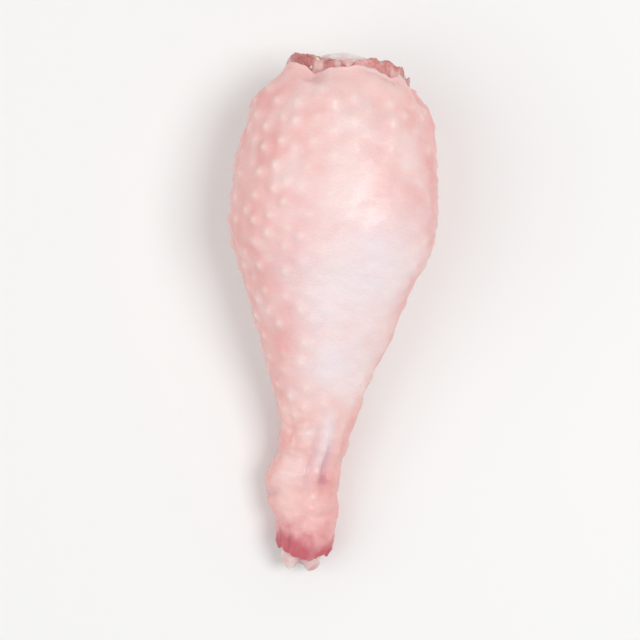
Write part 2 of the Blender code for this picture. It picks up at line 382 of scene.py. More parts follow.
class Bench:
    """The modelling bench: moves that a hand would make, on one object at a time."""

    @staticmethod
    def clear() -> None:
        """Puts everything down, so that an operator acts only on what is taken next."""
        if bpy.context.object and bpy.context.object.mode != "OBJECT":
            bpy.ops.object.mode_set(mode="OBJECT")
        bpy.ops.object.select_all(action="DESELECT")

    @staticmethod
    def take(*objects: bpy.types.Object) -> None:
        """Selects objects, with the first one active."""
        Bench.clear()
        for obj in objects:
            obj.select_set(True)
        bpy.context.view_layer.objects.active = objects[0]

    @staticmethod
    def started(name: str) -> bpy.types.Object:
        """Names the primitive just added, brings its place into its mesh, and opens it for editing."""
        obj = bpy.context.object
        obj.name = obj.data.name = name
        bpy.ops.object.transform_apply(location=True, rotation=True, scale=True)
        bpy.ops.object.mode_set(mode="EDIT")
        bpy.ops.mesh.select_all(action="SELECT")
        return obj

    @staticmethod
    def pick_faces(obj: bpy.types.Object, rule: Callable[[Vector, Vector], bool]) -> None:
        """Selects faces in edit mode by a rule on their centre and normal."""
        bpy.ops.mesh.select_mode(type="FACE")
        bpy.ops.mesh.select_all(action="DESELECT")
        bpy.ops.object.mode_set(mode="OBJECT")
        for face in obj.data.polygons:
            face.select = rule(face.center, face.normal)
        bpy.ops.object.mode_set(mode="EDIT")

    @staticmethod
    def modify(obj: bpy.types.Object, kind: str, **settings: Any) -> None:
        """Adds a modifier with these settings, and applies it."""
        Bench.take(obj)
        bpy.ops.object.modifier_add(type=kind)
        modifier = obj.modifiers[-1]
        for name, value in settings.items():
            setattr(modifier, name, value)
        bpy.ops.object.modifier_apply(modifier=modifier.name)

    @staticmethod
    def subdivide(obj: bpy.types.Object, levels: int) -> None:
        """Rounds a cage by a subdivision surface."""
        Bench.modify(obj, "SUBSURF", levels=levels, render_levels=levels)

    @staticmethod
    def fuse(name: str, parts: Sequence[bpy.types.Object], voxel: float, relax: int) -> bpy.types.Object:
        """Joins lumps into one closed mesh with soft clefts between them.

        Args:
            name: the new piece's name.
            parts: the lumps, which must overlap.
            voxel: the size of the new faces.
            relax: how many times the mesh is smoothed.

        Returns:
            The fused object.
        """
        Bench.take(*parts)
        bpy.ops.object.join()
        fused = bpy.context.object
        fused.name = fused.data.name = name
        Bench.modify(fused, "REMESH", mode="VOXEL", voxel_size=voxel, adaptivity=0.0)
        Bench.modify(fused, "SMOOTH", factor=0.5, iterations=relax)
        return fused

    @staticmethod
    def close(obj: bpy.types.Object) -> None:
        """Closes the open ends and turns every face outwards."""
        Bench.take(obj)
        bpy.ops.object.mode_set(mode="EDIT")
        bpy.ops.mesh.select_all(action="SELECT")
        bpy.ops.mesh.fill_holes(sides=0)
        bpy.ops.mesh.select_all(action="SELECT")
        bpy.ops.mesh.normals_make_consistent(inside=False)
        bpy.ops.object.mode_set(mode="OBJECT")

    @staticmethod
    def points(obj: bpy.types.Object) -> np.ndarray:
        """The vertices of a mesh, one row each."""
        values = np.empty(len(obj.data.vertices) * 3)
        obj.data.vertices.foreach_get("co", values)
        return values.reshape(-1, 3)

    @staticmethod
    def move_points(obj: bpy.types.Object, points: np.ndarray) -> None:
        """Puts the vertices of a mesh where these rows say."""
        obj.data.vertices.foreach_set("co", points.ravel())
        obj.data.update()

    @staticmethod
    def normals(obj: bpy.types.Object) -> np.ndarray:
        """The vertex normals of a mesh, one row each."""
        values = np.empty(len(obj.data.vertices) * 3)
        obj.data.vertices.foreach_get("normal", values)
        return values.reshape(-1, 3)

    @staticmethod
    def paint(obj: bpy.types.Object, name: str, values: np.ndarray) -> None:
        """Keeps one value for each vertex under a name."""
        layer = obj.data.attributes.new(name, "FLOAT", "POINT")
        layer.data.foreach_set("value", np.ascontiguousarray(values, dtype=np.float32))

    @staticmethod
    def painted(obj: bpy.types.Object, name: str) -> np.ndarray:
        """Reads the values kept under a name, and drops that layer."""
        layer = obj.data.attributes[name]
        values = np.empty(len(obj.data.vertices), np.float32)
        layer.data.foreach_get("value", values)
        obj.data.attributes.remove(layer)
        return values.astype(float)


@dataclass(frozen=True)
class Ring:
    """One ring of a tube's cage: its middle, its width across X and its depth along Z."""

    middle: Vector
    width: float
    depth: float


@dataclass(frozen=True)
class TubeCage:
    """A tube extruded ring by ring, which keeps where each of its points lies along and round it."""

    name: str
    rings: Sequence[Ring]
    around: int
    levels: int

    def build(self) -> tuple[bpy.types.Object, np.ndarray, np.ndarray]:
        """Extrudes the cage and subdivides it.

        Returns:
            The open tube, each point's place in rings from the first one, and its angle round from +X.
        """
        first = self.rings[0]
        Bench.clear()
        bpy.ops.mesh.primitive_circle_add(
            vertices=self.around, radius=0.5, location=first.middle, rotation=FACING_Y
        )
        obj = Bench.started(self.name)
        bpy.ops.transform.resize(value=(first.width, 1, first.depth), center_override=first.middle)
        for before, after in zip(self.rings, self.rings[1:]):
            step = after.middle - before.middle
            bpy.ops.mesh.extrude_region_move(TRANSFORM_OT_translate={"value": step})
            grown = (after.width / before.width, 1, after.depth / before.depth)
            bpy.ops.transform.resize(value=grown, center_override=after.middle)
        bpy.ops.object.mode_set(mode="OBJECT")
        self._mark(obj)
        Bench.subdivide(obj, self.levels)
        row = Bench.painted(obj, "row")
        angle = np.arctan2(Bench.painted(obj, "turn_z"), Bench.painted(obj, "turn_x"))
        return obj, row, angle

    def _mark(self, obj: bpy.types.Object) -> None:
        """Paints each cage point's ring and direction, which the subdivision then blends."""
        rings = Bench.points(obj).reshape(len(self.rings), self.around, 3)
        offset = (rings - rings.mean(axis=1, keepdims=True)).reshape(-1, 3)
        turn = np.arctan2(offset[:, 2], offset[:, 0])
        Bench.paint(obj, "row", np.repeat(np.arange(len(self.rings)), self.around))
        Bench.paint(obj, "turn_x", np.cos(turn))
        Bench.paint(obj, "turn_z", np.sin(turn))


@dataclass(frozen=True)
class Stroke:
    """A groove or a ridge drawn on the skin between two places, with the colour that it carries, which in
    some grooves is painted shade.
    """

    start: Span
    end: Span
    width: float
    height: float
    mask: Mask | None = None
    tint: float = 0.0

    end_share: ClassVar[float] = 0.35

    def strength(
        self, run: np.ndarray, angle: np.ndarray, radius: np.ndarray, spread: float = 1.0
    ) -> np.ndarray:
        """How strongly the stroke shows at each point.

        Args:
            run: distance from the ankle tip, in metres.
            angle: radians round from +X.
            radius: the skin's radius there, which turns angles into lengths.
            spread: how many times wider than its relief the stroke is drawn.

        Returns:
            1 on the middle of the stroke's line, less at its ends, and fading to 0 at its sides.
        """
        lengthways = run - self.start[0] * MM
        round_it = np.radians(turn_between(angle, self.start[1])) * radius
        end_lengthways = (self.end[0] - self.start[0]) * MM
        end_round = math.radians((self.end[1] - self.start[1] + 180) % 360 - 180) * radius
        squared = end_lengthways**2 + end_round**2
        t = (lengthways * end_lengthways + round_it * end_round) / squared
        near = np.clip(t, 0.0, 1.0)
        distance = np.hypot(lengthways - near * end_lengthways, round_it - near * end_round)
        tapered = self.end_share + (1 - self.end_share) * np.sqrt(np.sin(math.pi * near))
        return bell(distance, self.width * spread * MM) * tapered


@dataclass(frozen=True)
class Follicles:
    """The feather follicles: staggered columns of soft pimples that thin out towards the ankle."""

    columns: int = 34
    first: float = 0.22
    last: float = 0.935
    mean_radius: float = 20 * MM
    pitch: float = 5.0 * MM
    closest: float = 3.2 * MM
    crowded: float = 2.7 * MM
    jitter: float = 0.85 * MM
    height: float = 0.74 * MM
    mound: float = 1.5 * MM
    tip: float = 0.66 * MM
    tip_share: float = 0.38
    tint_reach: float = 0.62
    droop: float = 0.30 * MM
    crease_width: float = 1.1 * MM
    crease_depth: float = 0.05 * MM
    crease_clear: Span = (0.8 * MM, 2.0 * MM)
    smooth_top: float = 0.92
    smooth_right: float = 0.55
    smooth_under: float = 0.6
    starts: Span = (0.24, 0.36)
    ends: Span = (0.95, 0.89)
    taut_from: Span = (0.28, 0.42)
    slack_from: Span = (0.76, 0.88)
    slack_at_knee: float = 0.75
    sizes: Span = (0.5, 1.2)
    seed: int = 7

    def strength(self, along: np.ndarray, angle: np.ndarray) -> np.ndarray:
        """How much the pimples stand out: strongest on the left, weaker where the skin is stretched."""
        pimpled = ramp(along, *self.starts) * ramp(along, *self.ends)
        slack = self.slack_at_knee * ramp(along, *self.slack_from)
        taut = ramp(along, *self.taut_from) * (1 - slack)
        top = plateau(angle, 65, 30) * self.smooth_top * taut
        right = around(angle, 24, 34) * self.smooth_right * taut
        under = around(angle, 270, 50) * self.smooth_under
        return pimpled * (1 - top) * (1 - right) * (1 - under)

    def centres(self, form: LegForm) -> tuple[np.ndarray, np.ndarray]:
        """Places the pimples on the leg.

        Args:
            form: the leg's outer form.

        Returns:
            Their centres, one row each, and how high each one is as a share of the full height.
        """
        rng = random.Random(self.seed)
        along, angle = [], []
        for step in range(int(form.length / self.pitch) * 2):
            place = self.first + step * self.pitch / 2 / form.length
            if place > self.last:
                break
            gap = float(form.radius(np.array([place]))[0]) * 2 * math.pi / self.columns
            skip = 1 if gap > self.crowded else 2 if gap > self.crowded / 2 else 4
            for column in range(0, self.columns, skip):
                if (column // skip + step) % 2:
                    continue
                along.append(place + rng.uniform(-1, 1) * self.jitter / form.length)
                turn = 2 * math.pi * column / self.columns
                angle.append(turn + rng.uniform(-1, 1) * self.jitter / self.mean_radius)
        along, angle = np.array(along), np.array(angle)
        points = form.surface(along, angle)
        kept = self._spread(points)
        size = np.array([rng.uniform(*self.sizes) for _ in kept])
        return points[kept], size * self.strength(along[kept], angle[kept])

    def _spread(self, points: np.ndarray) -> list[int]:
        """Leaves out each point that would crowd one already kept, and gives the kept ones' numbers."""
        kept: list[int] = []
        for number, point in enumerate(points):
            if not kept or np.linalg.norm(points[kept] - point, axis=1).min() > self.closest:
                kept.append(number)
        return kept

    def relief(self, form: LegForm, surface: np.ndarray, shown: np.ndarray) -> tuple[np.ndarray, ...]:
        """The pimples' shape on the skin.

        Args:
            form: the leg's outer form.
            surface: the skin's points before any relief.
            shown: how much relief each point may carry.

        Returns:
            Each point's height in metres, its share of a pimple's cream colour with a painted highlight on
            its tip, and its share of painted shade in the creases.
        """
        centres, size = self.centres(form)
        tree = kdtree.KDTree(len(centres))
        for number, centre in enumerate(centres):
            tree.insert(centre, number)
        tree.balance()
        found = [tree.find_n(point, 2) for point in surface.tolist()]
        nearest = np.array([near[2] for near, _ in found])
        second = np.array([far[2] for _, far in found])
        owner = [near[1] for near, _ in found]
        strength = size[owner]
        tip = centres[owner] - np.array((0.0, self.droop, 0.0))
        from_tip = np.linalg.norm(surface - tip, axis=1)
        mound = bell(nearest, self.mound) * (1 - self.tip_share) + bell(from_tip, self.tip) * self.tip_share
        clear = smooth_step(nearest, *self.crease_clear)
        # the creases between pimples, which also carry painted shade
        crease_shade_and_fibre = bell(second - nearest, self.crease_width) * clear * shown
        height = self.height * mound * strength - self.crease_depth * crease_shade_and_fibre
        # each pimple's cream colour, centred on its drooping tip, is partly a painted highlight
        tint = bell(from_tip, self.mound * self.tint_reach) * strength
        return height, tint, crease_shade_and_fibre * np.clip(strength, 0.0, 1.0)


@dataclass(frozen=True)
class DrumstickSkin:
    """The skin that wraps the calf, gathers at the ankle and ends in a rolled lip at both mouths."""

    form: LegForm
    follicles: Follicles = Follicles()
    around: int = 20
    levels: int = 4
    wrinkle: float = 0.13 * MM
    pleat: float = 0.24 * MM
    slack: float = 0.55 * MM
    nick: float = 1.5 * MM
    hang: float = 1.3 * MM

    lip_share: ClassVar[float] = 0.93
    stain_spread: ClassVar[float] = 1.7
    carries_follicles: ClassVar[Span] = (0.2, 0.34)
    # a patch on the lower left flank, with painted shade on it, where the painted highlight is dulled
    flank_turn: ClassVar[float] = 124
    flank_spread: ClassVar[float] = 28
    flank_place: ClassVar[float] = 0.43
    flank_length: ClassVar[float] = 0.12
    flank_blush_and_shade: ClassVar[float] = 0.25
    flank_dulls: ClassVar[float] = 0.75
    blush_and_shade_patchiness: ClassVar[Span] = (0.36, 0.34)
    blush_and_shade_level: ClassVar[float] = 0.90
    blush_and_shade_unevenness: ClassVar[float] = 0.33
    # where the bluish painted highlight lies across the calf's top right, and how strong it is
    highlight_turns: ClassVar[Span] = (64, 84)
    highlight_turns_from: ClassVar[Span] = (0.64, 0.44)
    highlight_spread: ClassVar[float] = 42
    highlight_fades: ClassVar[tuple[Span, ...]] = ((0.30, 0.42), (0.80, 0.58))
    highlight_level: ClassVar[float] = 0.86
    highlight_patchiness: ClassVar[float] = 0.45
    rim_level: ClassVar[float] = 0.92
    knee_lip_red: ClassVar[float] = 0.35

    places: ClassVar[tuple[float, ...]] = (
        0.042, 0.085, 0.145, 0.205, 0.265, 0.330, 0.400, 0.470,
        0.540, 0.610, 0.680, 0.750, 0.820, 0.885, 0.941,
    )
    rows: ClassVar[tuple[tuple[float, float, float], ...]] = (
        # along, share of the skin's radius, how far out past the edge (mm)
        (0.042, 0.72, -4.5),
        (0.042, 0.86, -0.2),
        *((along, 1.0, 0.0) for along in places),
        (0.941, 0.94, 0.35),
        (0.941, 0.865, -5.0),
    )
    wrinkle_clouds: ClassVar[tuple[CloudLayer, ...]] = (
        (1.0, (5, 1.9, 5), 3.1),
        (0.8, (2.6, 1.4, 2.6), 8.3),
    )
    fold_clouds: ClassVar[tuple[CloudLayer, ...]] = ((3.0, (5, 9, 5), 2.9),)
    lump_clouds: ClassVar[tuple[CloudLayer, ...]] = ((0.5 * MM, 8, 5.7),)
    cream_clouds: ClassVar[tuple[CloudLayer, ...]] = ((1.0, 1.5, 5.2), (0.4, 3.5, 0.9))
    patch_clouds: ClassVar[tuple[CloudLayer, ...]] = ((1.0, 9, 1.3), (0.5, 4, 6.1))
    uneven_clouds: ClassVar[tuple[CloudLayer, ...]] = ((1.0, 5.5, 7.7), (0.6, 2.4, 4.9))
    rim_clouds: ClassVar[tuple[CloudLayer, ...]] = ((0.022, 5, 9.4), (0.012, 1.6, 2.4))
    rim_spots: ClassVar[tuple[CloudLayer, ...]] = ((0.4, 2.2, 3.7),)

    # each zone's weight, direction and spread in degrees, and where along the leg it starts and is full
    patchy_blush_and_shade: ClassVar[tuple[Zone, ...]] = (
        # the left flank, less of it towards the knee, and the right flank, pink partly from the flesh and
        # partly painted shade
        Zone(0.84, 153, 41, 0.28, 0.42),
        Zone(-0.2268, 153, 41, 0.58, 0.70),
        Zone(0.74, 10, 28, 0.33, 0.48),
    )
    even_blush_and_shade: ClassVar[tuple[Zone, ...]] = (
        # the underside, and painted shade at the two edges
        Zone(0.30, 270, 45),
        Zone(0.52, 174, 20),
        Zone(0.52, 4, 20),
        # the shank, with painted shade on its two sides
        Zone(0.50, start=0.40, full=0.27),
        Zone(0.60, 185, 45, 0.40, 0.27),
        Zone(0.60, 355, 45, 0.40, 0.27),
        # the knuckle, less of it on the top
        Zone(0.48, start=0.25, full=0.16),
        Zone(-0.30, 108, 40, 0.25, 0.16),
        # painted shade on the calf's upper half, more of it on the top
        Zone(0.22, start=0.57, full=0.67),
        Zone(0.12, 66, 34, 0.60, 0.68),
    )
    rims: ClassVar[tuple[Zone, ...]] = (
        Zone(0.36, start=0.114, full=0.064),
        Zone(0.76, start=0.088, full=0.052),
    )
    # from and to (mm from the ankle tip and degrees round), width and height in mm, colour and its share
    strokes: ClassVar[tuple[Stroke, ...]] = (
        # tendon ridge, its groove and the blood vessel beside it, on the right of the shank, with painted
        # shade in the grooves
        Stroke((40, 76), (24, 68), 1.0, 0.55, Mask.COOL, 0.8),
        Stroke((34, 88), (19, 84), 0.6, -0.6, Mask.VEIN, 0.35),
        Stroke((30, 62), (21, 58), 0.8, -0.45, Mask.VEIN, 0.6),
        Stroke((23.5, 58), (21, 57), 0.9, -0.1, Mask.ROSY, 0.5),
        Stroke((34, 47), (22, 38), 0.9, 0.35),
        Stroke((36, 36), (24, 28), 1.0, -0.4, Mask.BLUSH, 0.9),
        # cream-coloured fat under the skin of the knuckle
        Stroke((21, 122), (13, 112), 2.4, 0.1, Mask.FOLLICLE, 0.55),
        # a cream-coloured lump under the skin on the left
        Stroke((38.5, 148), (36, 150), 1.5, 0.25, Mask.FOLLICLE, 0.8),
        # the fold on the left of the shank, with a crease beside it
        Stroke((38, 146), (28.5, 150), 0.9, 0.4, Mask.BLUSH, 0.6),
        Stroke((37, 132), (30, 136), 0.8, -0.3),
        # a small dimple in the middle of the shank
        Stroke((33.4, 101), (32.6, 97), 0.8, -0.45, Mask.COOL, 0.7),
        # creases across the knuckle, with painted shade in them
        Stroke((16.2, 196), (18.2, 128), 0.7, -0.7, Mask.VEIN, 0.4),
        Stroke((13.2, 70), (15.4, 20), 0.7, -0.5, Mask.BLUSH, 0.9),
        Stroke((21.5, 66), (20.2, 20), 0.6, -0.25),
        Stroke((22.8, 170), (22.0, 128), 0.7, -0.2),
        Stroke((11.8, 138), (11.0, 205), 0.7, -0.5, Mask.BLUSH, 0.9),
        # the fold at the right edge of the calf, with painted shade in its groove
        Stroke((70.5, 6), (73.0, -34), 1.1, -0.7, Mask.BLUSH, 0.5),
        Stroke((75.5, 14), (76.5, -30), 2.0, 0.2),
        # slack folds towards the knee, two of them with painted shade in them
        Stroke((101, 125), (104, 78), 1.3, -0.35),
        Stroke((97, 190), (103, 228), 1.5, -0.45, Mask.BLUSH, 0.4),
        Stroke((99, 20), (105, 52), 1.2, -0.3),
        Stroke((88, 232), (93, 262), 1.6, -0.4, Mask.BLUSH, 0.4),
    )

    def build(self) -> bpy.types.Object:
        """Makes the skin, sculpts its relief and paints its masks."""
        table = SmoothTable([(number, *row) for number, row in enumerate(self.rows)])
        obj, row, angle = TubeCage("skin", self._rings(), self.around, self.levels).build()
        along, reach, out = table.at(row)
        outer = smooth_step(reach, self.lip_share, 1.0)
        plain = self.form.surface(along, angle)
        carried = outer * ramp(along, *self.carries_follicles)
        height, follicle_cream_and_highlight, crease_shade_and_fibre = self.follicles.relief(self.form, plain, carried)
        run, radius = along * self.form.length, self.form.radius(along)
        masks = self._masks(plain, along, angle, outer)
        # the pimples' cream with a painted highlight on their tips, and painted shade in the creases
        # between them
        masks[Mask.FOLLICLE], masks[Mask.CREASE] = follicle_cream_and_highlight + self._cream(plain, along, angle), crease_shade_and_fibre
        # each stroke's colour goes on; in some grooves that colour is painted shade
        for stroke in self.strokes:
            shown = stroke.strength(run, angle, radius) * outer
            height = height + shown * stroke.height * MM
            if stroke.mask:
                stain = stroke.strength(run, angle, radius, self.stain_spread) * outer
                masks[stroke.mask] = np.maximum(masks[stroke.mask], stain * stroke.tint)
        height = height * outer + self._wrinkles(plain, along, angle) * outer
        skin = self.form.surface(along, angle, height)
        middle = self.form.middle(along)
        skin = middle + (skin - middle) * reach[:, None]
        skin[:, 1] += out * MM * outwards(along) + self._ragged(along, angle)
        Bench.move_points(obj, self.form.settle(skin))
        for mask, values in masks.items():
            Bench.paint(obj, mask.value, np.clip(values, 0.0, 1.0))
        Bench.close(obj)
        return obj

    def _rings(self) -> list[Ring]:
        """The cage's rings, roughly where the finished skin goes."""
        along, reach, out = np.array(self.rows).T
        width, depth, _, _ = self.form.sections.at(along)
        middle = self.form.middle(along)
        middle[:, 1] += out * MM * outwards(along)
        sizes = zip(middle, width * self.form.width * reach, depth * self.form.depth * reach)
        return [Ring(Vector(place), wide, deep) for place, wide, deep in sizes]

    def _wrinkles(self, plain: np.ndarray, along: np.ndarray, angle: np.ndarray) -> np.ndarray:
        """Fine wrinkles across the leg, and pleats where the skin gathers at the ankle."""
        across = self.wrinkle * clouds(plain, self.wrinkle_clouds)
        across = across * (1 + 0.9 * ramp(along, 0.34, 0.24))
        pleats = self.pleat * np.sin(11 * angle + 2.0 * np.sin(3 * angle)) * ramp(along, 0.11, 0.05)
        folds = np.sin(9 * angle + 1.5 * np.sin(2 * angle) + 20 * along) + clouds(plain, self.fold_clouds)
        slack = self.slack * folds * ramp(along, 0.78, 0.92)
        lumps = clouds(plain, self.lump_clouds) * ramp(along, 0.3, 0.5)
        return across + pleats + slack + lumps

    def _ragged(self, along: np.ndarray, angle: np.ndarray) -> np.ndarray:
        """How far the skin's two edges are drawn back or left hanging, in metres."""
        turning = np.stack((np.cos(angle), np.sin(angle), (along > HALFWAY) * 3.0), axis=1)
        nicks = cloud(turning, 0.6, 4.2) + 0.35 * cloud(turning, 0.28, 7.1)
        nicks = nicks + 0.2 * cloud(turning, 0.11, 1.7)
        ankle = ramp(along, 0.075, 0.042)
        knee = 1.7 * ramp(along, 0.90, 0.941)
        hanging = around(angle, 105, 40) - 1.5 * plateau(angle, 14, 42)
        return self.nick * nicks * (knee + ankle) - self.hang * hanging * ankle

    def _cream(self, plain: np.ndarray, along: np.ndarray, angle: np.ndarray) -> np.ndarray:
        """Where cream-coloured specks of fat show through the skin of the shank and the knuckle."""
        specks = smooth_step(clouds(plain, self.cream_clouds), 0.05, 0.35)
        return 0.5 * specks * around(angle, 112, 55) * ramp(along, 0.36, 0.26)

    def _masks(
        self, plain: np.ndarray, along: np.ndarray, angle: np.ndarray, outer: np.ndarray
    ) -> dict[Mask, np.ndarray]:
        """Where the flesh shows pink through the skin, with painted shade on the flanks, the edges and the
        upper calf; a bluish painted highlight across the calf's top right; and where its rims are wet.
        """
        patches = clouds(plain, self.patch_clouds)
        flank = around(angle, self.flank_turn, self.flank_spread)
        flank = flank * bell(along - self.flank_place, self.flank_length)
        # pink flesh under the skin, with painted shade on the flanks, the edges, the shank's sides and the
        # upper calf
        patchy = sum(zone.at(along, angle) for zone in self.patchy_blush_and_shade)
        even = sum(zone.at(along, angle) for zone in self.even_blush_and_shade)
        within, everywhere = self.blush_and_shade_patchiness
        blush_and_shade = patchy * (1 + within * patches) + even + everywhere * patches + self.flank_blush_and_shade * flank
        uneven = self.blush_and_shade_unevenness * clouds(plain, self.uneven_clouds)
        blush_and_shade = np.clip(blush_and_shade, 0.0, 1.0) * (self.blush_and_shade_level + uneven)
        # a bluish painted highlight across the top right of the calf, dulled on the lower left flank
        at_knee, at_ankle = self.highlight_turns
        turn = at_knee + (at_ankle - at_knee) * ramp(along, *self.highlight_turns_from)
        cool_and_highlight = around(angle, turn, self.highlight_spread) * (1 - self.flank_dulls * flank)
        for fade in self.highlight_fades:
            cool_and_highlight = cool_and_highlight * ramp(along, *fade)
        from_rim = along - clouds(plain, self.rim_clouds)
        rim = sum(zone.at(from_rim, angle) for zone in self.rims)
        rim = rim * (self.rim_level + clouds(plain, self.rim_spots))
        knee_lip = (1 - outer) * (along > HALFWAY)
        return {
            Mask.BLUSH: blush_and_shade,
            Mask.ROSY: np.maximum(rim, knee_lip * self.knee_lip_red),
            Mask.VEIN: np.zeros(len(plain)),
            Mask.COOL: cool_and_highlight * (self.highlight_level + self.highlight_patchiness * patches),
        }


@dataclass(frozen=True)
class ShinBone:
    """The leg bone, with a pulley-shaped cartilage knuckle at the ankle and a dished head at the knee."""

    form: LegForm
    shaft: float = 7.0 * MM
    around: int = 16
    levels: int = 3
    ankle_groove: float = 2.0 * MM
    ankle_groove_reach: float = 1.6 * MM
    knee_dish: float = 1.1 * MM
    knee_dish_offset: float = 5.2 * MM
    knee_dish_reach: float = 3.6 * MM
    knee_dish_height: float = 5 * MM
    knee_notch: float = 1.5 * MM
    knee_notch_reach: float = 2.6 * MM
    knee_crest: float = 1.3 * MM
    knee_crest_reach: float = 3.4 * MM
    knee_crest_offset: float = -1 * MM
    knee_spine: float = 0.8 * MM
    knee_spine_reach: Span = (1.3 * MM, 3.2 * MM)

    end: ClassVar[float] = 0.99
    head_span: ClassVar[Span] = (0.88, 0.95)
    knee_span: ClassVar[Span] = (0.93, 0.96)
    ankle_span: ClassVar[Span] = (0.03, 0.012)
    dish_depth: ClassVar[float] = 1.5
    pit_clouds: ClassVar[tuple[CloudLayer, ...]] = ((0.22 * MM, 2.2, 2.2), (0.1 * MM, 1.0, 7.0))
    sections: ClassVar[SmoothTable] = SmoothTable(
        (
            # along, width and depth in shaft widths
            (0.000, 0.72, 0.62),
            (0.007, 1.06, 0.92),
            (0.019, 1.27, 1.10),
            (0.038, 1.34, 1.17),
            (0.062, 1.26, 1.09),
            (0.100, 1.09, 0.97),
            (0.155, 1.00, 0.91),
            (0.500, 1.00, 0.91),
            (0.740, 1.16, 1.05),
            (0.830, 1.60, 1.35),
            (0.892, 2.25, 1.80),
            (0.935, 2.80, 2.20),
            (0.960, 2.98, 2.36),
            (0.978, 2.86, 2.25),
            (0.990, 2.45, 1.90),
        )
    )
    places: ClassVar[tuple[float, ...]] = (
        0.004, 0.025, 0.055, 0.100, 0.200, 0.500, 0.800, 0.880, 0.930, 0.960, 0.982,
    )
    rows: ClassVar[tuple[tuple[float, float, float], ...]] = (
        # along, share of the radius, how far past the end (mm)
        (0.000, 0.03, 0.70),
        (0.000, 0.45, 0.48),
        (0.000, 0.80, 0.18),
        *((along, 1.0, 0.0) for along in places),
        (0.990, 0.90, 0.2),
        (0.990, 0.68, 0.6),
        (0.990, 0.35, 1.0),
        (0.990, 0.03, 1.2),
    )

    def build(self) -> bpy.types.Object:
        """Makes the bone with its grooves, dishes and pits, and paints where it is bloody or bluish."""
        table = SmoothTable([(number, *row) for number, row in enumerate(self.rows)])
        obj, row, angle = TubeCage("shin_bone", self._rings(), self.around, self.levels).build()
        along, share, past = table.at(row)
        along = np.clip(along, 0.0, self.end)
        width, depth = self.sections.at(along) * self.shaft / 2
        middle = self._middle(along)
        side, up = np.cos(angle) * width * share, np.sin(angle) * depth * share
        knee, ankle = ramp(along, *self.knee_span), ramp(along, *self.ankle_span)
        groove = ankle * self.ankle_groove * bell(side, self.ankle_groove_reach)
        dishes = sum(bell(side - s * self.knee_dish_offset, self.knee_dish_reach) for s in (-1, 1))
        dishes = dishes * bell(up, self.knee_dish_height) * (1 - share) * self.dish_depth
        head = ramp(along, *self.head_span)
        notch = self.knee_notch * bell(side, self.knee_notch_reach)
        up = up + head * notch * smooth_step(-up, 0.0, 4 * MM)
        crest = self.knee_crest * bell(side - self.knee_crest_offset, self.knee_crest_reach)
        up = up + head * crest * smooth_step(up, 0.0, 5 * MM)
        across, lengthways = self.knee_spine_reach
        spine = self.knee_spine * knee * bell(side, across) * bell(up, lengthways) * (1 - share)
        points = middle + np.stack((side, np.zeros_like(side), up), axis=1)
        points[:, 1] += self.form.lean(points - middle, along) * knee
        points[:, 1] += past * MM * outwards(along) - knee * dishes * self.knee_dish + groove + spine
        points[:, 2] -= np.sign(up) * groove * 0.45 * smooth_step(share, 0.6, 1.0)
        outward = (points - middle) / np.maximum(np.linalg.norm(points - middle, axis=1), TINY)[:, None]
        points += outward * clouds(points, self.pit_clouds)[:, None]
        Bench.move_points(obj, points)
        rim = knee * bell(share - 1.0, 0.16) + ankle * bell(share - 1.0, 0.12) * 0.6
        specks = smooth_step(cloud(points, 2.1 * MM, 9.9), 0.24, 0.55)
        blood = rim * (0.35 + cloud(points, 3 * MM, 4.4)) + (0.45 * specks + 0.45) * (along < HALFWAY)
        Bench.paint(obj, Mask.ROSY.value, np.clip(blood, 0.0, 1.0))
        Bench.paint(obj, Mask.COOL.value, np.clip(dishes * knee + groove / self.ankle_groove, 0.0, 1.0))
        Bench.close(obj)
        return obj

    def _rings(self) -> list[Ring]:
        """The cage's rings, roughly where the finished bone goes."""
        along, share, past = np.array(self.rows).T
        width, depth = self.sections.at(along) * self.shaft
        middle = self._middle(along)
        middle[:, 1] += past * MM * outwards(along)
        return [Ring(Vector(m), w, d) for m, w, d in zip(middle, width * share, depth * share)]

    def _middle(self, along: np.ndarray) -> np.ndarray:
        """The middle of the bone's section at each place, one row each."""
        middle = self.form.middle(np.maximum(along, self.form.ankle_edge))
        middle[:, 1] = along * self.form.length + self.form.shift[1]
        return middle


